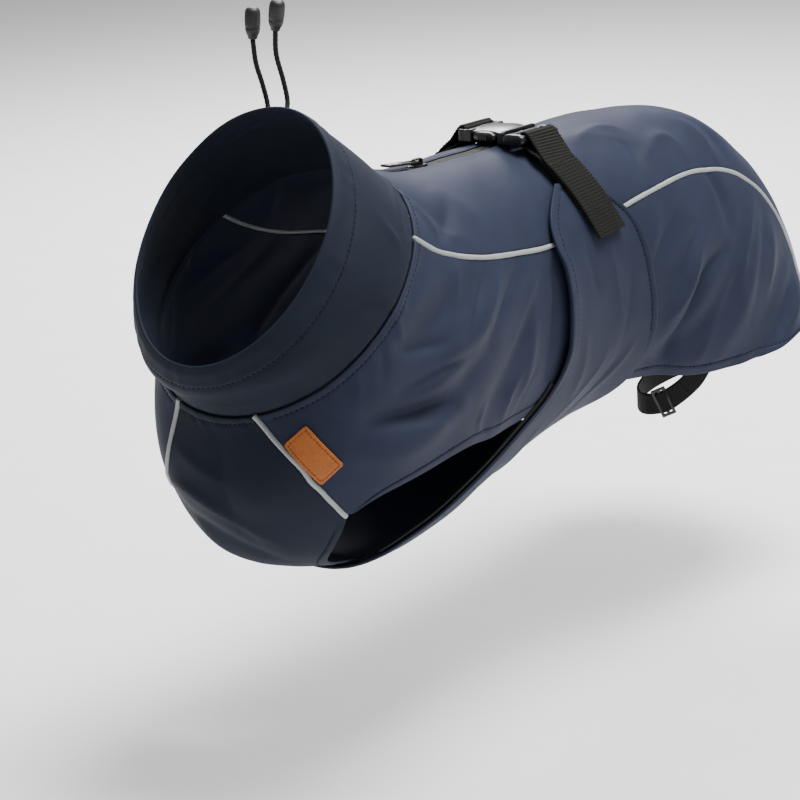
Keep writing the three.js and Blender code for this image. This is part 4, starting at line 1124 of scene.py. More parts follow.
# Elastic, webbing and zip tape: the last number sets how much lighter the yarn crowns are painted, a painted highlight.
ELASTIC = Ribbed("black_elastic", (0.009, 0.009, 0.010), 1.1, "Y", 0.7, 2.0)
ELASTIC_LOOP = Ribbed("black_elastic", (0.010, 0.010, 0.011), 1.25, "X", 0.7, 2.0)
WEBBING = Ribbed("black_webbing", (0.0052, 0.0054, 0.0044), 2.0, "X", 0.85, 3.4)
PIPING = Beaded("reflective_piping", (0.27, 0.28, 0.28))
ZIP_TAPE = Ribbed("zip_tape", (0.022, 0.025, 0.022), 0.8, "X", 0.5, 1.5)
ZIP_METAL = Moulded("zip_metal", (0.006, 0.006, 0.0065), 0.25, 0.01, 0.35)
BUCKLE_PLASTIC = Moulded("buckle_plastic", (0.0050, 0.0052, 0.0054), 0.29, 0.006)
CORD = Braid("cord", (0.014, 0.014, 0.015))
CORD_END = Moulded("cord_end", (0.0065, 0.0065, 0.007), 0.52, 0.03)
LEATHER = Leather("label_leather", (0.33, 0.098, 0.020))
LEATHER_THREAD = Braid("label_leather", (0.10, 0.030, 0.010))


@dataclass
class Studio:
    """Pale floor, soft studio light and the camera at the photograph's angle."""

    azimuth: float = 41.5
    elevation: float = 17.2
    roll: float = -3.5
    distance: float = 1224.0
    focal: float = 2200.0
    image: float = 800.0
    origin_pixel: tuple[float, float] = (505.0, 143.0)
    floor: float = -300.0

    def camera(self) -> None:
        """Sets the camera where the origin falls on its pixel of the photograph."""
        a, e, r = (math.radians(v) for v in (self.azimuth, self.elevation, self.roll))
        back = Vector((math.sin(a) * math.cos(e), -math.cos(a) * math.cos(e), math.sin(e)))
        right = Vector((math.cos(a), math.sin(a), 0.0))
        up = back.cross(right)
        right, up = right * math.cos(r) + up * math.sin(r), up * math.cos(r) - right * math.sin(r)
        across = (self.origin_pixel[0] - self.image / 2) * self.distance / self.focal
        down = (self.origin_pixel[1] - self.image / 2) * self.distance / self.focal
        place = back * self.distance - right * across + up * down
        data = bpy.data.cameras.new("camera")
        data.sensor_width = 36.0
        data.lens = self.focal / self.image * data.sensor_width
        data.clip_start, data.clip_end = 0.05, 20.0
        made = bpy.data.objects.new("camera", data)
        bpy.context.scene.collection.objects.link(made)
        made.matrix_world = Matrix.Translation(place * MM) @ Matrix((right, up, back)).transposed().to_4x4()
        bpy.context.scene.camera = made

    def floor_sheet(self) -> None:
        """A wide pale floor with a faint grain."""
        kit = bmesh.new()
        bmesh.ops.create_grid(kit, x_segments=2, y_segments=2, size=6.0)
        data = bpy.data.meshes.new("floor")
        kit.to_mesh(data)
        kit.free()
        made = bpy.data.objects.new("floor", data)
        made.location.z = self.floor * MM
        bpy.context.scene.collection.objects.link(made)
        shader = Shader("floor_paper", 0.8, 0.2, Coordinate.OBJECT)
        shader.colours(shader.noise(0.02, 2.0), ((0.3, (0.90, 0.90, 0.90)), (0.7, (0.92, 0.92, 0.92))))
        made.data.materials.append(shader.material)
        made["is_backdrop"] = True

    def lamp(self, name: str, place: Sequence[float], aim: Sequence[float], size: float, power: float) -> None:
        """A square soft light, in metres, aimed at a point."""
        data = bpy.data.lights.new(name, "AREA")
        data.shape, data.size, data.energy = "SQUARE", size, power
        made = bpy.data.objects.new(name, data)
        made.location = place
        made.rotation_euler = (Vector(aim) - Vector(place)).to_track_quat("-Z", "Y").to_euler()
        bpy.context.scene.collection.objects.link(made)

    def lights(self) -> None:
        """An even surround, a light overhead, a weak one at the right and one that washes the floor at the back."""
        world = bpy.data.worlds.new("studio")
        bpy.context.scene.world = world
        world.use_nodes = True
        ground = world.node_tree.nodes["Background"]
        ground.inputs["Color"].default_value = (1.0, 1.0, 1.0, 1.0)
        ground.inputs["Strength"].default_value = 0.43
        self.lamp("overhead", (0.34, 0.2, 1.42), (0, 0.02, -0.05), 0.8, 59.0)
        self.lamp("camera_right", (1.0, 0.45, 1.1), (0, 0.1, -0.08), 0.5, 3.0)
        self.lamp("back_left", (-1.0, 1.1, 1.1), (-0.7, 0.9, -0.3), 0.8, 46.0)

    def build(self) -> None:
        """Makes the camera, the floor and the lights."""
        self.camera()
        self.floor_sheet()
        self.lights()


@dataclass
class Panel:
    """A cloth piece on the coat's form, as a grid of places, with its hems and seams."""

    name: str
    u: np.ndarray
    deg: np.ndarray
    outer: float = 0.0
    inner: float = -CLOTH
    flap: bool = False
    wrap: bool = False
    present: np.ndarray | None = None
    extra: np.ndarray | float = 0.0
    round_edges: tuple[bool, bool, bool, bool] = (True, True, True, True)
    rim: np.ndarray | None = None

    def __post_init__(self) -> None:
        """Works out the points of the outer face and the distances from the four edges."""
        self.base = FORM.point(self.u, self.deg)
        across, along = lengths(self.base, 1), lengths(self.base, 0)
        self.from_left, self.from_right = across, across[:, -1:] - across
        self.from_first, self.from_last = along, along[-1:] - along

    def band(self, distance: np.ndarray, at: float, weight: np.ndarray | float = 1.0, raised: float = 0.4) -> None:
        """A doubled band along an edge, with a stitched groove at its inner side and puckers round it.

        Args:
            distance: Millimetres from the edge.
            at: The band's width.
            weight: Where the band is, from 0 to 1.
            raised: How far the doubled cloth stands up.
        """
        run = self.from_first if distance is self.from_left or distance is self.from_right else self.from_left
        raise_band = raised * (1 - smooth((distance - at + 0.3) / 1.3))
        groove = -0.5 * bell(distance - at, 0.75)
        wave = np.sin(run / 1.75 + 1.4 * np.sin(run / 7.3)) * (0.6 + 0.4 * np.sin(run / 5.1 + 1.0))
        pucker = 0.17 * wave * bell(distance - at - 0.5, 3.4)
        self.extra = self.extra + weight * (raise_band + groove + pucker)

    def drape(self, distance: np.ndarray, height: float, width: float, weight: np.ndarray | float = 1.0) -> None:
        """Lifts the cloth near an edge by a soft bell."""
        self.extra = self.extra + weight * height * bell(distance, width)

    def rounding(self) -> np.ndarray:
        """Share of the wall's half thickness that is left near the free edges."""
        edges = (self.from_left, self.from_right, self.from_first, self.from_last)
        share = np.ones_like(self.base[..., 0])
        radius = (self.outer - self.inner) * 0.62
        for distance, wanted in zip(edges, self.round_edges):
            if wanted:
                x = np.clip(distance / radius, 0, 1)
                share = np.minimum(share, np.sqrt(1 - (1 - x) ** 2))
        if self.rim is not None:
            x = np.clip(self.rim / radius, 0, 1)
            share = np.minimum(share, np.sqrt(1 - (1 - x) ** 2))
        return np.maximum(share, 0.12)

    def lifts(self) -> tuple[np.ndarray, np.ndarray]:
        """Lift of the outer and the inner face at each place."""
        middle, half = (self.outer + self.inner) / 2, (self.outer - self.inner) / 2
        share = self.rounding()
        bottom = np.minimum(self.extra, 0) * 0.8 + np.maximum(self.extra, 0) * 0.6
        return middle + half * share + self.extra, middle - half * share + bottom

    def build(self) -> bpy.types.Object:
        """The panel's mesh."""
        top, bottom = self.lifts()
        outer = FORM.lifted(self.u, self.deg, top, self.flap)
        inner = FORM.lifted(self.u, self.deg, bottom, self.flap)
        return MeshKit.shell(self.name, outer, inner, self.wrap, self.present)

    def seam_path(
        self, distance: np.ndarray, at: float, keep: np.ndarray | None = None
    ) -> tuple[np.ndarray, np.ndarray]:
        """Points and normals of a line at a distance from an edge, for sewing.

        Args:
            distance: Millimetres from the edge at each place.
            at: The line's distance.
            keep: Which rows, or columns, the line runs over.

        Returns:
            Points on the cloth and its outward directions.
        """
        grids = [self.u, self.deg, self.lifts()[0], distance]
        if distance is self.from_first or distance is self.from_last:
            grids = [grid.T for grid in grids]
        u, deg, lift, far = grids
        rows = range(len(far)) if keep is None else np.nonzero(keep)[0]
        picked = []
        for i in rows:
            order = np.argsort(far[i])
            picked.append([np.interp(at, far[i][order], grid[i][order]) for grid in (u, deg, lift)])
        u, deg, lift = np.array(picked).T
        path = FORM.lifted(u, deg, lift + 0.12, self.flap)
        return path, FORM.directions(u, deg)[2]


def grid_between(
    top: tuple[np.ndarray, np.ndarray], low: tuple[np.ndarray, np.ndarray], step: float, near: Sequence[float]
) -> tuple[np.ndarray, np.ndarray]:
    """Places across a panel from one edge line to the other, closer together near both edges.

    Args:
        top: Ring numbers and angles of the first edge.
        low: Ring numbers and angles of the second edge.
        step: Spacing in the middle of the widest row.
        near: Distances kept from each edge.

    Returns:
        Ring numbers and angles, rows by columns.
    """
    t = np.linspace(0, 1, 25)
    u = top[0][:, None] * (1 - t) + low[0][:, None] * t
    deg = top[1][:, None] * (1 - t) + low[1][:, None] * t
    run = lengths(FORM.point(u, deg), 1)
    count = int(math.ceil((run[:, -1].max() - 2 * near[-1]) / step))
    rows_u, rows_deg = [], []
    for i in range(len(u)):
        total = run[i, -1]
        squeeze = min(1.0, total / (2.6 * near[-1]))
        edge = np.array(near) * squeeze
        middle = np.linspace(edge[-1], total - edge[-1], count + 1)
        places = np.concatenate([edge[:-1], middle, total - edge[:-1][::-1]])
        rows_u.append(np.interp(places, run[i], u[i]))
        rows_deg.append(np.interp(places, run[i], deg[i]))
    return np.array(rows_u), np.array(rows_deg)


def row_numbers(line: Callable[[np.ndarray], np.ndarray], start: float, end: float, step: float,
                near_start: Sequence[float], near_end: Sequence[float]) -> np.ndarray:
    """Values of a line's parameter, evenly spaced in millimetres and closer together near both ends."""
    t = np.linspace(start, end, 400)
    run = lengths(line(t))
    return np.interp(dense(run[-1], step, near_start, near_end), run, t)


@dataclass
class Body:
    """The back, side and chest panels with the piping in their seams."""

    step: float = 2.1
    zip_start: float = 2.34
    zip_end: float = 6.42
    slit_half: float = 5.5
    near: tuple[float, ...] = NEAR_EDGE
    plain: tuple[float, ...] = (0.0, 0.3, 0.9, 1.8, 3.0)
    threads: Thread = field(default_factory=Thread)
    # Stitches of the chest panel, their thread painted darker still as painted shade.
    shaded_threads: Thread = field(default_factory=Thread)

    def back_panel(self) -> bpy.types.Object:
        """The back, with the zip's slit and the tail hem."""
        centre = lambda u: FORM.point(u, np.zeros_like(u))
        u = row_numbers(centre, PANEL_START, COAT_END, self.step, self.near, self.near)
        rings = np.linspace(2, 14, 60)
        per_ring = np.interp(u, rings, np.linalg.norm(FORM.directions(rings, np.zeros_like(rings))[0], axis=-1))
        edge = FORM.side_piping(u, 1, -BESIDE_PIPING)[1]
        slit = self.slit_half / np.linalg.norm(FORM.directions(u, np.full_like(u, 0.5))[1], axis=-1)
        outward = np.concatenate([np.array([0, 0.3, 0.9, 1.8, 3.2]), np.linspace(5, 100, 44)])
        rows = []
        for i in range(len(u)):
            wide = np.interp(outward / outward[-1], [0, 1], [slit[i], edge[i]])
            near_piping = edge[i] - np.array([2.6, 1.4, 0.7, 0.25, 0]) * (edge[i] - slit[i]) / 92
            half = np.concatenate([wide[:-2], near_piping])
            inside = np.linspace(-slit[i], slit[i], 8)[1:-1]
            rows.append(np.concatenate([-half[::-1], inside, half]))
        deg = np.array(rows)
        grid_u = np.broadcast_to(u[:, None], deg.shape).copy()
        cols = deg.shape[1]
        middle = (cols - 6) // 2
        open_cell = (u[:-1] >= self.zip_start - 1e-6) & (u[1:] <= self.zip_end + 1e-6)
        present = np.ones((len(u) - 1, cols - 1), bool)
        present[np.ix_(open_cell, range(middle - 1, middle + 6))] = False
        first, last = u[:-1][open_cell][0], u[1:][open_cell][-1]
        beyond = np.maximum(np.maximum(first - u, u - last), 0) * per_ring
        base = FORM.point(grid_u, deg)
        sideways = np.maximum(np.abs(base[..., 0]) - self.slit_half, 0)
        rim = np.hypot(sideways, beyond[:, None])
        panel = Panel("back_cloth", grid_u, deg, present=present, rim=rim)
        panel.band(panel.from_last, HEM_WIDTH)
        panel.band(panel.from_first, SEAM_BAND, raised=0.3)
        panel.drape(rim, 0.55, 3.2)
        whole = np.ones(cols, bool)
        self.sew(panel, panel.from_last, HEM_WIDTH, whole)
        self.sew(panel, panel.from_first, SEAM_BAND, whole)
        return NAVY.dress(panel.build(), BODY, ["back_panel"])

    def sew(self, panel: Panel, distance: np.ndarray, at: float, keep: np.ndarray, dark: bool = False) -> None:
        """Sews a panel along a line at a distance from an edge, in the chest's thread that is painted darker as shade
        when asked.
        """
        path, normal = panel.seam_path(distance, at, keep)
        (self.shaded_threads if dark else self.threads).sew(path, normal)

    def side_rib(self, s: np.ndarray, side: int) -> tuple[tuple[np.ndarray, np.ndarray], tuple[np.ndarray, np.ndarray]]:
        """Upper and lower ends of the side panel's ribs; s is 0 to 1 beside the chest piping, then the hem's rows."""
        start = FORM.chest_start(side, BESIDE_PIPING)
        t = np.clip(s, 0, 1)
        last = len(CHEST_PIPING) - 1
        chest_u, chest_deg = FORM.chest_piping(start + (last - start) * t, side, BESIDE_PIPING)
        row = np.maximum(s - 1, 0)
        ribs = column(HEM_RIBS, row)
        hem_deg = side * (ribs[..., 2] - 1.1 * np.maximum(0, 1 - row / 0.5))
        in_chest = s < 1
        top_u = np.where(in_chest, PANEL_START + (HEM_RIBS[0][0] - PANEL_START) * t, ribs[..., 0])
        top = FORM.side_piping(top_u, side, BESIDE_PIPING)
        low = (np.where(in_chest, chest_u, ribs[..., 1]), np.where(in_chest, chest_deg, hem_deg))
        return top, low

    def side_panel(self, side: int) -> bpy.types.Object:
        """A side panel from the side piping down to the chest piping and the hem."""
        word = "left" if side > 0 else "right"

        def middle(s: np.ndarray) -> np.ndarray:
            """The panel's middle line."""
            top, low = self.side_rib(s, side)
            return FORM.point(top[0] * 0.35 + low[0] * 0.65, top[1] * 0.35 + low[1] * 0.65)

        end = float(len(HEM_RIBS))
        s = row_numbers(middle, 0.0, end, self.step, self.near, self.near)
        top, low = self.side_rib(s, side)
        u, deg = grid_between(top, low, self.step, self.near)
        panel = Panel(f"side_cloth_{word}", u, deg)
        hem = smooth((s - 1.0) / 0.35)[:, None]
        panel.band(panel.from_right, HEM_WIDTH, hem)
        corner = smooth((panel.from_right - 0.6 * HEM_WIDTH) / 3)
        panel.band(panel.from_last, HEM_WIDTH, corner)
        panel.band(panel.from_first, SEAM_BAND, raised=0.3)
        stop = np.interp(HEM_WIDTH, panel.from_last[::-1, -8], s[::-1])
        self.sew(panel, panel.from_right, HEM_WIDTH, (s > 1.12) & (s < stop))
        self.sew(panel, panel.from_last, HEM_WIDTH, panel.from_right[-1] > HEM_WIDTH)
        self.sew(panel, panel.from_first, SEAM_BAND, panel.from_right[0] > 3)
        return NAVY.dress(panel.build(), BODY, [f"side_panel_{word}"])

    def bib_ends(self, s: np.ndarray) -> tuple[tuple[np.ndarray, np.ndarray], tuple[np.ndarray, np.ndarray]]:
        """Left and right ends of the chest panel's rows; s is 0 to 1 between the pipings, then the edge's rows."""
        t, row = np.clip(s, 0, 1), np.maximum(s - 1, 0)
        last = len(CHEST_PIPING) - 1
        edge = column(BIB_EDGE, row)
        ends = []
        for side in (1, -1):
            start = FORM.chest_start(side, -BESIDE_PIPING)
            u, deg = FORM.chest_piping(start + (last - start) * t, side, -BESIDE_PIPING)
            u, deg = np.where(s < 1, u, edge[..., 0]), np.where(s < 1, deg, side * edge[..., 1])
            ends.append((u, deg if side > 0 else deg + 360))
        return ends[0], ends[1]

    def chest_panel(self) -> bpy.types.Object:
        """The bib and the strip that runs on between the forelegs."""
        middle = lambda s: FORM.point(*[(a + b) / 2 for a, b in zip(*self.bib_ends(s))])
        s = row_numbers(middle, 0.0, float(len(BIB_EDGE)), self.step, self.near, self.plain)
        left, right = self.bib_ends(s)
        u, deg = grid_between(left, right, self.step, self.near)
        panel = Panel("chest_cloth", u, deg)
        hem = smooth((s - 1.0) / 0.4)[:, None]
        for distance in (panel.from_left, panel.from_right):
            panel.band(distance, HEM_WIDTH, hem)
            self.sew(panel, distance, HEM_WIDTH, s > 1.15, dark=True)
        panel.band(panel.from_first, SEAM_BAND, raised=0.3)
        self.sew(panel, panel.from_first, SEAM_BAND, (panel.from_left[0] > 3) & (panel.from_right[0] > 3), dark=True)
        # The chest cloth is in the navy darkened as painted shade.
        return SHADED_NAVY.dress(panel.build(), BODY, ["chest_panel"])

    def pipings(self) -> list[bpy.types.Object]:
        """The reflective piping, a little uneven as sewn cord is."""
        uneven = lambda length, turn: PIPING_RADIUS * (1 + 0.035 * np.sin(length / 5.3) + 0.02 * np.sin(length / 2.1))
        made = []
        for side in (1, -1):
            word = "left" if side > 0 else "right"
            u = np.linspace(PANEL_START - 0.004, COAT_END - 0.03, 300)
            path = FORM.lifted(*FORM.side_piping(u, side), -PIPING_SINK + 0.15)
            long = MeshKit.tube(f"side_piping_cord_{word}", path, uneven, 14)
            made.append(PIPING.dress(long, BODY, [f"side_piping_{word}"]))
            t = np.linspace(0.0, len(CHEST_PIPING) - 1.08, 100)
            path = FORM.lifted(*FORM.chest_piping(t, side), -PIPING_SINK + 0.15)
            short = MeshKit.tube(f"chest_piping_cord_{word}", path, uneven, 14)
            made.append(PIPING.dress(short, BODY, [f"chest_piping_{word}"]))
        return made

    def build(self) -> list[bpy.types.Object]:
        """Makes the panels, the piping and their stitching."""
        made = [self.back_panel(), self.side_panel(1), self.side_panel(-1), self.chest_panel(), *self.pipings()]
        # Stitches are in thread painted darker than the cloth as painted shade, and those on the chest darker still.
        made.append(SHADED_NAVY_THREAD.dress(self.threads.piece("panel_stitching")))
        made.append(SHADED_COLLAR_THREAD.dress(self.shaded_threads.piece("chest_stitching")))
        return made


@dataclass
class Collar:
    """The stand collar with its turned cord channel."""

    columns: int = 230
    swell: float = 0.5
    rim_half: float = 1.3
    threads: Thread = field(default_factory=Thread)

    @staticmethod
    def stitch_ring(deg: np.ndarray) -> np.ndarray:
        """Ring number of the channel's stitching: the channel is as wide all round."""
        return 0.40 + 0.35 * (1 - np.cos(np.radians(deg))) / 2

    def build(self) -> list[bpy.types.Object]:
        """Makes the collar's cloth and its stitching."""
        deg = np.linspace(-180, 180, self.columns, endpoint=False)
        share = np.array([0, 0.006, 0.02, 0.045, 0.08, 0.13, 0.19, 0.27, 0.36, 0.46, 0.56, 0.66, 0.75, 0.82, 0.88,
                          0.92, 0.95, 0.98, 1.0])
        sewn, stitch = len(share) - 1, self.stitch_ring(deg)
        rest = np.concatenate([np.array([0.012, 0.03, 0.055, 0.09, 0.14, 0.2]), np.linspace(0.26, 0.9, 18),
                               [0.94, 0.965, 0.982, 0.992, 1.0]])
        u = np.concatenate([share[:, None] * stitch, stitch + (COLLAR_END - stitch) * rest[:, None]])
        deg = np.broadcast_to(deg, u.shape).copy()
        panel = Panel("collar_cloth", u, deg, outer=0.0, inner=-CLOTH, wrap=True,
                      round_edges=(False, False, True, True))
        from_stitch = np.sign(u - stitch) * np.abs(panel.from_first - np.take(panel.from_first, sewn, 0))
        inside = 1 - smooth((from_stitch + 0.2) / 1.0)
        run = lengths(FORM.point(np.full(self.columns, 0.5), deg[0]))
        gather = np.sin(run / 2.1 + 1.2 * np.sin(run / 9.0)) * (0.55 + 0.45 * np.sin(run / 6.3 + 0.6))
        cord_bulge = 0.55 * bell(panel.from_first - 4.2, 2.6)
        panel.extra = inside * (self.swell + cord_bulge) - 0.5 * bell(from_stitch, 0.8)
        panel.extra = panel.extra + 0.24 * gather * bell(from_stitch + 3.0, 5.0)
        panel.band(panel.from_last, 3.2, raised=0.0)
        panel.extra = panel.extra - 1.75 * (1 - smooth((panel.from_last - 1.1) / 1.5))
        path = FORM.lifted(stitch, deg[0], panel.lifts()[0][sewn] + 0.12)
        normal = FORM.directions(stitch, deg[0])[2]
        self.threads.sew(np.concatenate([path, path[:1]]), np.concatenate([normal, normal[:1]]))
        # The collar cloth is in the navy darkened as painted shade; its stitches are in thread painted darker still, as
        # shade.
        cloth = SHADED_NAVY.dress(panel.build(), BODY, ["collar", "collar_channel"])
        return [cloth, SHADED_COLLAR_THREAD.dress(self.threads.piece("collar_stitching"))]


@dataclass
class BellyFlap:
    """The belly flap with its two wings and the elastic at its front edge."""

    step: float = 2.2
    stitch_at: float = HEM_WIDTH
    rear_stitch: float = 4.4
    band_first: float = 7.0
    band_last: float = 12.6
    band_out: float = 10.5
    band_under: float = 3.0
    threads: Thread = field(default_factory=Thread)

    def edge(self, t: np.ndarray, rear: bool) -> tuple[np.ndarray, np.ndarray]:
        """Front or rear edge at fractional rib t, running over the middle to the right."""
        last = len(FLAP_RIBS) - 1
        row = np.where(t <= last, t, 2 * last - t)
        ribs = column(FLAP_RIBS, row)
        u, deg = (ribs[..., 2], ribs[..., 3]) if rear else (ribs[..., 0], ribs[..., 1])
        return u, np.where(t <= last, deg, 360 - deg)

    def cloth(self) -> bpy.types.Object:
        """The flap's cloth, its front edge standing a little off the flank."""
        last = 2.0 * (len(FLAP_RIBS) - 1)
        line = lambda t: FORM.point(*[(a + b) / 2 for a, b in zip(self.edge(t, False), self.edge(t, True))])
        t = row_numbers(line, 0.0, last, self.step, NEAR_EDGE, NEAR_EDGE)
        u, deg = grid_between(self.edge(t, False), self.edge(t, True), self.step, NEAR_EDGE)
        panel = Panel("flap_cloth", u, deg, FLAP_LIFT + FLAP_CLOTH, FLAP_LIFT, flap=True)
        from_middle = np.abs(t - last / 2)
        open_wing = smooth((11.6 - from_middle) / 1.6) * smooth((from_middle - 6.6) / 1.6)
        panel.drape(panel.from_left, 2.6, 9.0, open_wing[:, None])
        panel.band(panel.from_left, self.stitch_at)
        wing = smooth((from_middle - 7.0) / 2.0)
        panel.drape(panel.from_right, 0.9, 3.6, wing[:, None])
        panel.band(panel.from_right, self.rear_stitch, wing[:, None], 0.3)
        seams = (
            (panel.from_left, self.stitch_at, 1.0, last - 1.0),
            (panel.from_right, self.rear_stitch, 0.6, 6.0),
            (panel.from_right, self.rear_stitch, last - 6.0, last - 0.6),
        )
        for distance, at, first, end in seams:
            self.threads.sew(*panel.seam_path(distance, at, (t > first) & (t < end)))
        return NAVY.dress(panel.build(), BODY, ["belly_flap"])

    def elastic(self, side: int) -> bpy.types.Object:
        """The elastic band along the flap's front edge."""
        word = "left" if side > 0 else "right"
        t = np.linspace(self.band_first, self.band_last, 110)
        ribs = column(FLAP_RIBS, t)
        run = column(FLAP_RIBS, t + 0.05) - column(FLAP_RIBS, t - 0.05)
        out = self.band_out * np.minimum(1, 0.35 + 0.65 * (t - self.band_first) / 1.6)
        rows_u, rows_deg = [], []
        for k in np.concatenate([[0.0, 0.012, 0.035], np.linspace(0.08, 0.93, 20), [0.965, 0.988, 1.0]]):
            lift = np.array([
                FORM.sidestep(ribs[i, 0], side * ribs[i, 1], run[i, 0], side * run[i, 1],
                              side * (-self.band_under + (out[i] + self.band_under) * k))
                for i in range(len(t))
            ])
            rows_u.append(lift[:, 0])
            rows_deg.append(lift[:, 1])
        u, deg = np.array(rows_u).T, np.array(rows_deg).T
        panel = Panel(f"flap_elastic_{word}", u, deg, 1.25, 0.25)
        panel.extra = 0.10 * np.sin(panel.from_left * 2 * np.pi / 1.7)
        return ELASTIC.dress(panel.build(), BODY, [f"elastic_band_{word}"])

    def build(self) -> list[bpy.types.Object]:
        """Makes the flap, its stitching and its elastic."""
        made = [self.cloth(), self.elastic(1), self.elastic(-1)]
        # Stitches are in thread painted darker than the cloth as painted shade.
        made.append(SHADED_NAVY_THREAD.dress(self.threads.piece("flap_stitching")))
        return made


@dataclass
class Strip:
    """A flat band along a path: webbing or elastic with ribs across it."""

    width: float
    thick: float
    rib: float = 2.0
    rib_height: float = 0.38
    step: float = 0.27
    skew: float = 0.0

    def build(self, name: str, path: np.ndarray, across: np.ndarray) -> bpy.types.Object:
        """The band's mesh.

        Args:
            name: The object's name.
            path: The band's middle line, in millimetres.
            across: The direction of its width at each point.

        Returns:
            The object.
        """
        length = lengths(path)
        at = np.linspace(0, length[-1], int(length[-1] / self.step) + 1)
        pick = lambda rows: np.stack([np.interp(at, length, rows[:, k]) for k in range(3)], -1)
        centre = pick(path)
        ahead = unit(np.gradient(centre, axis=0))
        side = pick(across)
        side = unit(side - ahead * (side * ahead).sum(-1, keepdims=True))
        up = np.cross(ahead, side)
        side = unit(side * (1 - self.skew) + np.array((0, self.skew, 0)))
        half = self.width / 2
        rim = np.array([0, 0.15, 0.45, 0.9])
        k = np.concatenate([-half + rim, np.linspace(-half + 1.6, half - 1.6, 17), half - rim[::-1]])
        share = np.sqrt(1 - (1 - np.clip((half - np.abs(k)) / 0.75, 0, 1)) ** 2)
        ends = np.minimum(at, at[-1] - at)
        share = np.maximum(share[None] * np.sqrt(1 - (1 - np.clip(ends / 0.7, 0, 1)) ** 2)[:, None], 0.15)
        weave = (0.5 + 0.5 * np.sin(2 * np.pi * at / self.rib))[:, None] * np.ones(len(k))[None]
        weave = weave * (0.8 + 0.2 * np.cos(k * 2.6))[None] * self.rib_height
        level = (self.thick / 2 * share + weave * share)[..., None]
        grid = centre[:, None] + side[:, None] * k[None, :, None]
        top = grid + up[:, None] * level
        bottom = grid - up[:, None] * level
        return MeshKit.shell(name, top, bottom)


def through(points: Sequence[Sequence[float]], count: int) -> np.ndarray:
    """A smooth path through points, evenly spaced, with any further columns (such as a width) carried along."""
    table = np.array(points, float)
    fine = column(table, np.linspace(0, len(table) - 1, count * 3))
    run = lengths(fine[:, :3])
    at = np.linspace(0, run[-1], count)
    return np.stack([np.interp(at, run, values) for values in fine.T], -1)


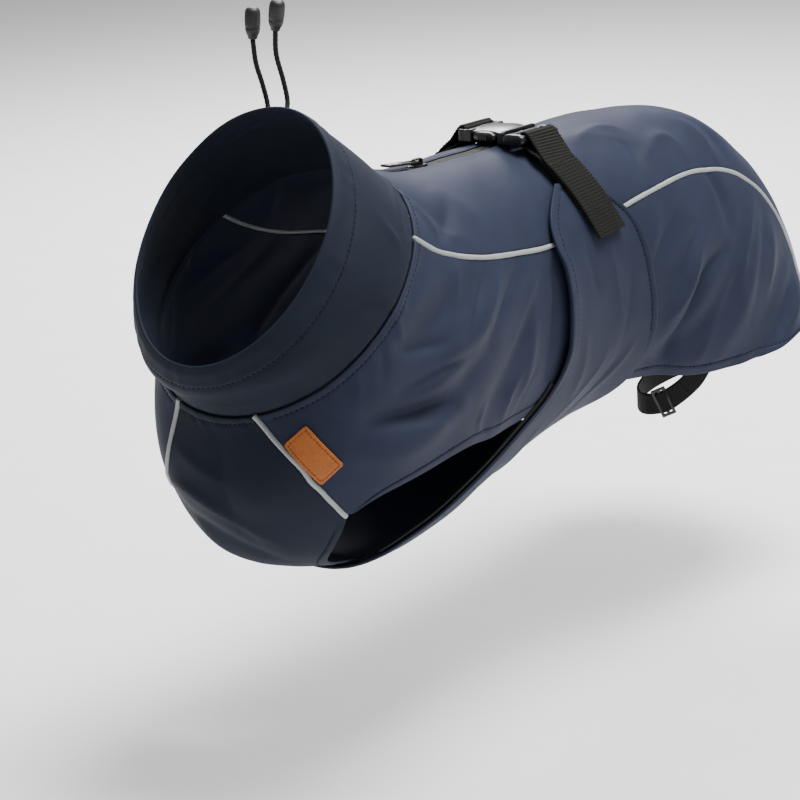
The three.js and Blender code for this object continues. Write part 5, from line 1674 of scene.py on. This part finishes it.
@dataclass
class Strap:
    """The webbing over the back, its free tail and the loop through the buckle."""

    width: float = 25.0
    thick: float = 1.25
    lift: float = 3.8
    right_lift: float = 0.9
    layer: float = 1.7
    lower_end: float = 4.3
    tail_end: float = 5.0
    loop_end: float = 2.3
    middle_y: float = -2.0
    skew: float = 0.7

    def flank(self, side: int, rows: np.ndarray, lift: float) -> tuple[np.ndarray, np.ndarray]:
        """Middle line and width direction over a flank at the strap's fractional rows."""
        place, ahead, back = column(STRAP, rows), column(STRAP, rows + 0.05), column(STRAP, rows - 0.05)
        u, deg = place[..., 0], side * place[..., 1]
        rise = lift + self.thick / 2 + np.maximum(0, place[..., 2])
        if side < 0:
            rise = lift + self.thick / 2 + smooth((rows - 2.0) / 1.4) * (self.lift - self.right_lift)
        path = FORM.lifted(u, deg, rise, True)
        along_u, along_deg, normal = FORM.directions(u, deg)
        run = ahead - back
        heading = unit(along_u * run[..., :1] + along_deg * (side * run[..., 1:2]))
        return path, np.cross(normal, heading) * side

    def build(self) -> list[bpy.types.Object]:
        """Makes the two strap ends with their turns at the buckle."""
        y, up, bar = self.middle_y, self.lift + self.layer, (0.0, 1.0, 0.0)
        rows = lambda a, b: np.linspace(a, b, 40)
        made = []
        low, low_side = self.flank(1, rows(1.3, self.lower_end), self.lift)
        start = np.array([(17.5, y, 4.4), (20.4, y, 2.9), (23.8, y, 2.2), (27.6, y, 0.6)])
        made.append(self.piece("strap_lower_left", ["webbing_left"], [
            (start, np.tile(bar, (4, 1))), (low[::6], low_side[::6])]))
        tail, tail_side = self.flank(1, rows(1.9, self.tail_end), up)
        start = np.array([(21.2, y, 4.6), (21.9, y, 7.8), (23.8, y, 9.7), (26.3, y, 9.2), (29.4, y, 6.0)])
        made.append(self.piece("strap_tail", ["webbing_tail"], [
            (start, np.tile(bar, (5, 1))), (tail[::6], tail_side[::6]), (tail[-1:], tail_side[-1:])]))
        low, low_side = self.flank(-1, rows(self.lower_end, 0.6), self.right_lift)
        top, top_side = self.flank(-1, rows(1.3, self.loop_end), self.right_lift + self.layer)
        turn = np.array([(-23.0, y, -0.4), (-19.6, y, 1.3), (-17.0, y, 2.1), (-15.6, y, 3.9), (-15.3, y, 6.6),
                         (-16.3, y, 9.2), (-18.6, y, 10.5), (-21.0, y, 9.6), (-24.4, y, 5.7), (-28.6, y, 0.9)])
        made.append(self.piece("strap_right", ["webbing_right", "webbing_loop"], [
            (low[::6], low_side[::6]), (turn, np.tile(bar, (10, 1))), (top[::13], top_side[::13])]))
        made.append(self.bars())
        return made

    def piece(
        self, name: str, nodes: Sequence[str], parts: Sequence[tuple[np.ndarray, np.ndarray]]
    ) -> bpy.types.Object:
        """One length of webbing.

        Args:
            name: The object's name.
            nodes: The CAD nodes it stands for.
            parts: Points of its middle line, each group with the direction of the width.

        Returns:
            The object.
        """
        rows = through(np.concatenate([np.concatenate(part, 1) for part in parts]), 420)
        made = Strip(self.width, self.thick, skew=self.skew).build(name, rows[:, :3], rows[:, 3:])
        return WEBBING.dress(made, BODY, nodes)

    def bars(self) -> bpy.types.Object:
        """The sewn bars that hold the strap's lower layer on the wings and close the loop."""
        thread = Thread(1.5, 1.3, 0.5)
        upper = self.right_lift + self.layer
        for side, row, lift in ((1, 4.05, self.lift), (1, 3.75, self.lift), (-1, 4.05, self.right_lift),
                                (-1, 3.75, self.right_lift), (-1, 1.75, upper), (-1, 2.05, upper)):
            path, across = self.flank(side, np.full(2, row), lift + self.thick / 2 + 0.2)
            width = np.linspace(-10.5, 10.5, 30)[:, None]
            place = column(STRAP, np.array(row))
            normal = FORM.directions(place[0], side * place[1])[2]
            thread.sew(path[0] + unit(across[0]) * width, np.tile(normal, (30, 1)))
        return CORD.dress(thread.piece("strap_stitching"))


@dataclass
class Buckle:
    """The side release buckle: socket, release tabs and ladder bars, softened like a moulding."""

    place: tuple[float, float, float] = (3.5, -2.0, 6.0)
    voxel: float = 0.42

    def at(self, x: float, y: float, z: float) -> tuple[float, float, float]:
        """A point given from the buckle's middle."""
        return x + self.place[0], y + self.place[1], z + self.place[2]

    def dome(self, side: int) -> bpy.types.Object:
        """The socket's bowed top (1) or underside (-1): waisted, and lower towards its edges."""
        x = np.linspace(-17.0, 9.0, 40)[:, None] * np.ones(33)[None]
        half = 12.0 + 2.2 * ((x + 4.0) / 13.0) ** 2
        y = np.linspace(-1, 1, 33)[None] * half
        z = 4.75 - 1.9 * np.abs(y / 13.0) ** 2.2 - 0.9 * ((x + 4.0) / 13.0) ** 2
        place = np.array(self.place)
        top = np.stack([x, y, side * z], -1) + place
        low = np.stack([x, y, side * (z - 1.9)], -1) + place
        return MeshKit.shell("dome", top, low)

    def socket(self) -> bpy.types.Object:
        """The socket: loop bar, bowed plates, side windows and the mouth's rim."""
        block = lambda size, x, y, z: MeshKit.block(size, self.at(x, y, z))
        solids = [self.dome(1), self.dome(-1), block((2.7, 30.0, 6.6), -21.6, 0, 0)]
        solids += [block((2.4, 29.0, 7.4), -15.2, 0, 0), block((13.0, 25.0, 1.6), -8.5, 0, -3.4)]
        for side in (1, -1):
            solids.append(block((9.0, 2.5, 6.8), -18.4, side * 13.6, 0))
            solids.append(block((4.6, 2.2, 6.6), 6.6, side * 13.4, 0))
            solids.append(block((2.0, 27.0, 1.5), 7.9, 0, side * 3.45))
        made = MeshKit.moulded("buckle_socket_moulding", solids, self.voxel, 5)
        return BUCKLE_PLASTIC.dress(made, BODY, ["buckle_socket"])

    def prongs(self) -> bpy.types.Object:
        """The prongs: ladder bars between bulging rails, and thumb pads in the socket's windows."""
        block = lambda size, x, y, z: MeshKit.block(size, self.at(x, y, z))
        solids = [block((3.2, 29.0, 5.2), 11.2, 0, -0.2), block((2.1, 29.0, 4.4), 16.9, 0, 0.6)]
        solids += [block((2.4, 29.0, 5.0), 21.7, 0, 0.3), block((16.0, 3.0, 5.0), 3.0, 0, 0)]
        for side in (1, -1):
            solids.append(MeshKit.bulb((14.6, 5.2, 6.9), self.at(16.2, side * 14.9, 0)))
            solids.append(MeshKit.bulb((15.5, 5.6, 6.2), self.at(-5.2, side * 13.2, 0)))
            solids.append(block((20.0, 2.4, 3.6), 2.0, side * 11.0, 0))
            for k in range(4):
                solids.append(block((0.75, 1.0, 4.2), -8.0 + 1.8 * k, side * 15.75, 0))
        made = MeshKit.moulded("buckle_prongs_moulding", solids, self.voxel, 4)
        return BUCKLE_PLASTIC.dress(made, BODY, ["buckle_prongs"])

    def build(self) -> list[bpy.types.Object]:
        """Makes both halves."""
        return [self.socket(), self.prongs()]


@dataclass
class BackZip:
    """The coated zip under the back's slit, with its slider and pull."""

    start: float = 2.34
    end: float = 6.42
    half: float = 9.5
    under: float = -1.9
    thick: float = 1.2
    tooth: float = 1.35

    def tape(self) -> bpy.types.Object:
        """Both halves of the tape meeting over the teeth, whose rhythm shows through the coating."""
        centre = lambda u: FORM.point(u, np.zeros_like(u))
        u = row_numbers(centre, self.start - 0.13, self.end + 0.13, 0.34, (0.0, 0.3), (0.0, 0.3))
        run = lengths(centre(u))
        x = np.array([0, 0.12, 0.35, 0.7, 1.1, 1.5, 1.9, 2.3, 2.8, 3.4, 4.2, 5.4, 7.0, 8.6, 9.2, self.half])
        x = np.concatenate([-x[::-1], x[1:]])
        per_deg = np.linalg.norm(FORM.directions(u, np.full_like(u, 0.5))[1], axis=-1)
        deg = x[None] / per_deg[:, None]
        grid_u = np.broadcast_to(u[:, None], deg.shape).copy()
        panel = Panel("zip_tape_cloth", grid_u, deg, self.under, self.under - self.thick)
        away = np.abs(x)[None]
        crown = 0.65 * bell(away - 1.5, 1.5)
        phase = 2 * np.pi * run[:, None] / self.tooth + np.where(x[None] > 0, np.pi, 0)
        teeth = 0.13 * (0.5 + 0.5 * np.sin(phase)) * bell(away - 1.7, 0.85)
        middle = 1.15 * (1 - smooth((away - 3.6) / 1.5))
        panel.extra = middle + crown + teeth - 0.75 * bell(away, 0.22)
        return ZIP_TAPE.dress(panel.build(), BODY, ["zip_tape"])

    def stop(self) -> bpy.types.Object:
        """The fold of tape that closes the slit in front of the slider."""
        deg = np.linspace(-4.4, 4.4, 24)
        path = FORM.lifted(np.full_like(deg, self.start + 0.03), deg, -1.35)
        return ZIP_TAPE.dress(MeshKit.tube("zip_end_fold", path, 0.75, 10))

    def slider(self) -> list[bpy.types.Object]:
        """Slider body and crown, softened, and the pull with its grip."""
        body = [MeshKit.node_copy("zip_slider")]
        low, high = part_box("zip_slider")
        middle, top = (low + high) / 2 / MM, high.z / MM
        for side in (1, -1):
            body.append(MeshKit.block((0.9, 8.6, 1.0), (middle.x + side * 3.1, middle.y, top - 0.1)))
        body.append(MeshKit.block((5.4, 2.2, 0.9), (middle.x, middle.y + 3.9, top)))
        slider = MeshKit.moulded("zip_slider_body", body, 0.2, 5)
        crown = MeshKit.moulded("zip_slider_crown", [MeshKit.node_copy("zip_crown")], 0.14, 5)
        low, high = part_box("zip_pull")
        ridges = [MeshKit.node_copy("zip_pull")]
        tilt = math.tan(math.radians(5.5))
        for k in range(5):
            y = low.y / MM + 3.2 + 2.1 * k
            z = (high.z + low.z) / 2 / MM + ((high.y + low.y) / 2 / MM - y) * tilt
            ridges.append(MeshKit.block((4.2, 0.8, 1.7), (0.0, y, z)))
        pull = MeshKit.moulded("zip_pull_tab", ridges, 0.2, 4)
        ZIP_METAL.dress(slider, BODY, ["zip_slider"])
        ZIP_METAL.dress(crown, BODY, ["zip_crown"])
        ZIP_METAL.dress(pull, PULL_BODY, ["zip_pull"])
        return [slider, crown, pull]

    def build(self) -> list[bpy.types.Object]:
        """Makes the tape, its end fold, the slider and the pull."""
        return [self.tape(), self.stop(), *self.slider()]


@dataclass
class Label:
    """The bare leather label with a sewn border."""

    half_long: float = 13.2
    half_wide: float = 7.6
    corner: float = 1.5
    lift: float = 0.35
    thick: float = 1.25
    border: float = 1.7
    shift: tuple[float, float] = (0.6, -2.3)

    def half_at(self, x: np.ndarray, inset: float = 0.0) -> np.ndarray:
        """Half width of the rounded oblong at a distance along it from its middle."""
        a, b, r = self.half_long - inset, self.half_wide - inset, max(self.corner - inset * 0.5, 0.35)
        return b - r + np.sqrt(np.maximum(r * r - np.maximum(np.abs(x) - a + r, 0) ** 2, 0))

    def outline(self, inset: float) -> np.ndarray:
        """A closed rounded oblong inside the label's edge."""
        x = (self.half_long - inset) * np.sin(np.linspace(-1, 1, 60) * np.pi / 2)
        half = self.half_at(x, inset)
        return np.concatenate([np.stack([x, half], -1), np.stack([x, -half], -1)[::-1], [(x[0], half[0])]])

    def places(self, flat: np.ndarray) -> tuple[np.ndarray, np.ndarray]:
        """Ring numbers and angles of points on the label, which lies on the cloth without stretching."""
        upper_in, upper_out, lower_out, lower_in = FORM.point(*np.array(LABEL_CORNERS).T)
        middle = (upper_in + upper_out + lower_out + lower_in) / 4
        long = unit(lower_in + lower_out - upper_in - upper_out)
        wide = upper_out + lower_out - upper_in - lower_in
        wide = unit(wide - long * (wide @ long))
        wanted = middle + long * (flat[..., :1] + self.shift[0]) + wide * (flat[..., 1:] + self.shift[1])
        u, deg = (np.full(flat.shape[:-1], value) for value in np.mean(LABEL_CORNERS, axis=0))
        for _ in range(8):
            along_u, along_deg, _ = FORM.directions(u, deg)
            miss = wanted - FORM.point(u, deg)
            uu, ud, dd = (along_u**2).sum(-1), (along_u * along_deg).sum(-1), (along_deg**2).sum(-1)
            mu, md, det = (along_u * miss).sum(-1), (along_deg * miss).sum(-1), uu * dd - ud * ud
            u, deg = u + (mu * dd - md * ud) / det, deg + (md * uu - mu * ud) / det
        return u, deg

    def build(self) -> list[bpy.types.Object]:
        """Makes the label and its stitches."""
        edge = np.array([0, 0.08, 0.22, 0.45, 0.8, 1.2, 1.5, 1.7, 1.9, 2.2, 2.7])
        spread = lambda half: np.concatenate([edge - half, np.linspace(3.6 - half, half - 3.6, 9), half - edge[::-1]])
        x = spread(self.half_long)[:, None]
        half = self.half_at(x)
        y = spread(self.half_wide)[None] / self.half_wide * half
        rim = np.minimum(self.half_long - np.abs(x), half - np.abs(y))
        rounding = np.maximum(np.sqrt(1 - (1 - np.clip(rim / 0.6, 0, 1)) ** 2), 0.2)
        dent = 0.22 * bell(rim - self.border, 0.35)
        u, deg = self.places(np.stack([x + 0 * y, y], -1))
        outer = FORM.lifted(u, deg, self.lift + self.thick * (0.5 + 0.5 * rounding) - dent)
        inner = FORM.lifted(u, deg, self.lift + self.thick * (0.5 - 0.5 * rounding))
        label = MeshKit.shell("label_patch", outer, inner)
        layer = label.data.attributes["weave"]
        flat = np.array([v.co for v in label.data.vertices], float).reshape(-1, 3) / MM
        layer.data.foreach_set("vector", (flat[:, [1, 2, 0]]).astype(np.float32).ravel())
        LEATHER.dress(label, BODY, ["leather_label"])
        thread = Thread(1.9, 1.4, 0.36)
        u, deg = self.places(self.outline(self.border))
        path = FORM.lifted(u, deg, self.lift + self.thick - 0.14)
        thread.sew(path, FORM.directions(u, deg)[2])
        return [label, LEATHER_THREAD.dress(thread.piece("label_stitching"))]


@dataclass
class LegLoop:
    """An elastic loop round a hind leg with its ladder slider."""

    side: int
    width: float = 13.0
    thick: float = 1.3
    ribs: tuple[float, float, float] = (1.25, 0.1, 0.42)
    bar: float = 1.7
    reach: int = 20

    def build(self) -> list[bpy.types.Object]:
        """Makes the elastic and the slider."""
        word = "left" if self.side > 0 else "right"
        points = np.array(LEG_LOOP, float) * (self.side, 1, 1)
        path = through(points, 260)
        ahead = unit(np.gradient(path, axis=0))
        across = unit(np.array((0, 0, 1.0)) - ahead * ahead[:, 2:])
        band = Strip(self.width, self.thick, *self.ribs).build(f"leg_elastic_{word}", path, across)
        ELASTIC_LOOP.dress(band, BODY, [f"leg_loop_{word}"])
        low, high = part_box(f"loop_slider_{word}")
        middle = np.array((low + high) / 2) / MM
        near = int(np.argmin(np.linalg.norm(path - middle, axis=1)))
        run, wide = ahead[near], across[near]
        out = np.cross(wide, run) * self.side
        solids = []
        for k, size in ((-3.6, self.bar), (0.0, self.bar), (3.6, self.bar)):
            solids.append(self.oriented((size, self.width + 4.6, 1.6), middle + run * k, run, wide, out))
        for k in (-1, 1):
            solids.append(self.oriented((8.8, 1.8, 1.6), middle + wide * k * (self.width / 2 + 1.5), run, wide, out))
        turned = slice(near - self.reach, near + self.reach)
        over = path[turned]
        slider = MeshKit.moulded(f"leg_slider_{word}", solids, 0.3, 4)
        BUCKLE_PLASTIC.dress(slider, BODY, [f"loop_slider_{word}"])
        lift = bell(np.linspace(-1, 1, len(over)), 0.42)[:, None] * out * 1.6 + out * 1.1
        layer = Strip(self.width - 0.6, 0.9, *self.ribs)
        upper = layer.build(f"leg_elastic_turn_{word}", over + lift, across[turned])
        return [band, slider, ELASTIC_LOOP.dress(upper)]

    @staticmethod
    def oriented(
        size: Sequence[float], middle: np.ndarray, x: np.ndarray, y: np.ndarray, z: np.ndarray
    ) -> bpy.types.Object:
        """A block turned to three directions."""
        made = MeshKit.block(size, (0, 0, 0))
        turn = Matrix(np.array([x, y, z]).T.tolist()).to_4x4()
        made.data.transform(Matrix.Translation(Vector(middle * MM)) @ turn)
        return made


@dataclass
class Drawcord:
    """A free end of the collar's cord with its moulded end and sewn eyelet."""

    word: str
    exit_deg: float
    points: tuple[tuple[float, float, float], ...]
    lean: tuple[float, float, float]
    radius: float = 1.3

    def braided(self, length: np.ndarray, turn: np.ndarray) -> np.ndarray:
        """Radius of a round braid: two families of strands that cross."""
        pitch = 2 * np.pi * length / 5.2
        strands = np.maximum(np.sin(4 * turn + 2 * pitch), np.sin(4 * turn - 2 * pitch))
        return self.radius * (0.955 + 0.06 * strands)

    def build(self) -> list[bpy.types.Object]:
        """Makes the cord, its end and the eyelet."""
        ring, deg = np.array([CORD_EXIT_RING]), np.array([self.exit_deg])
        normal = FORM.directions(ring, deg)[2][0]
        rise = FORM.heights(FORM.point(ring, deg), FORM.main)[0]
        foot = FORM.point(ring, deg)[0] + normal * (0.95 + rise)
        path = through([foot, *self.points], 90)
        cord = MeshKit.tube(f"drawcord_braid_{self.word}", path, self.braided, 24)
        CORD.dress(cord, BODY, [f"drawcord_{self.word}"])
        lean = Vector(self.lean).normalized()
        base = Vector(path[-1]) + lean * 0.3
        turn = lean.to_track_quat("Z", "Y").to_matrix().to_4x4()
        profile = np.array([(0, 0), (1.9, 0), (2.25, 0.25), (2.4, 0.9), (2.75, 1.9), (3.25, 2.9), (3.62, 4.2),
                            (3.8, 5.4), (3.68, 5.7), (3.68, 6.1), (3.86, 6.4), (3.97, 8.2), (4.0, 9.6), (3.98, 11.2), (3.9, 12.8),
                            (3.66, 14.2), (3.1, 15.2), (2.2, 15.8), (1.1, 15.98), (0, 16.0)])
        end = MeshKit.lathe(f"cord_end_{self.word}_cap", profile, Matrix.Translation(base) @ turn, 44)
        CORD_END.dress(end, BODY, [f"cord_end_{self.word}"])
        length = float(lengths(path)[-1])
        LOG.info("drawcord %s: %.1f mm long", self.word, length)
        return [cord, end, self.eyelet(foot, normal)]

    def eyelet(self, foot: np.ndarray, normal: np.ndarray) -> bpy.types.Object:
        """The oversewn hole in the channel where the cord comes out."""
        x = unit(np.cross(normal, (1.0, 0.0, 0.0)))
        y = np.cross(normal, x)
        turn = np.linspace(0, 2 * np.pi, 49)
        path = foot - normal * 0.55 + 2.3 * (np.cos(turn)[:, None] * x + np.sin(turn)[:, None] * y)
        uneven = lambda length, angle: 0.48 + 0.09 * np.sin(2 * np.pi * length / 0.62) + 0 * angle
        fine = through(path, 260)
        # The oversewing is in thread painted dark as shade.
        return SHADED_COLLAR_THREAD.dress(MeshKit.tube(f"eyelet_{self.word}", fine, uneven, 8))


def declare_sheets(cloths: dict[str, bpy.types.Object]) -> None:
    """Logs the area of each cloth piece; the sizes that each was cut to are listed but not used.

    Args:
        cloths: The cloth pieces by name.
    """
    cuts = {
        "back_cloth": (0.18, 0.46),
        "side_cloth_left": (0.18, 0.47),
        "side_cloth_right": (0.18, 0.47),
        "chest_cloth": (0.15, 0.16),
        "collar_cloth": (0.48, 0.06),
        "flap_cloth": (0.12, 0.48),
    }
    for name, flat in cuts.items():
        piece = cloths[name]
        area = sheet_area(piece)
        LOG.info("%s: %.4f m2 of cloth", name, area)


def sheet_area(piece: bpy.types.Object) -> float:
    """Half the closed shell's surface, which is the cloth's area."""
    return sum(face.area for face in piece.data.polygons) / 2


def main() -> None:
    """Builds the whole coat in order and reports each piece."""
    logging.basicConfig(level=logging.INFO, format="%(message)s")
    Studio().build()
    makers = [
        Drawcord("left", *CORD_LEFT),
        Drawcord("right", *CORD_RIGHT),
        Collar(),
        Body(),
        BellyFlap(),
        Strap(),
        Buckle(),
        BackZip(),
        Label(),
        LegLoop(1),
        LegLoop(-1),
    ]
    made: dict[str, bpy.types.Object] = {}
    for maker in makers:
        for piece in maker.build():
            made[piece.name] = piece
            LOG.info("%s: %s, %d faces", type(maker).__name__, piece.name, len(piece.data.polygons))
    declare_sheets(made)
    boxes = {name: [list(map(float, corner)) for corner in box] for name, box in
             (("cad", CAD_BOX), ("visual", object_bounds()))}


if __name__ == "__main__":
    main()
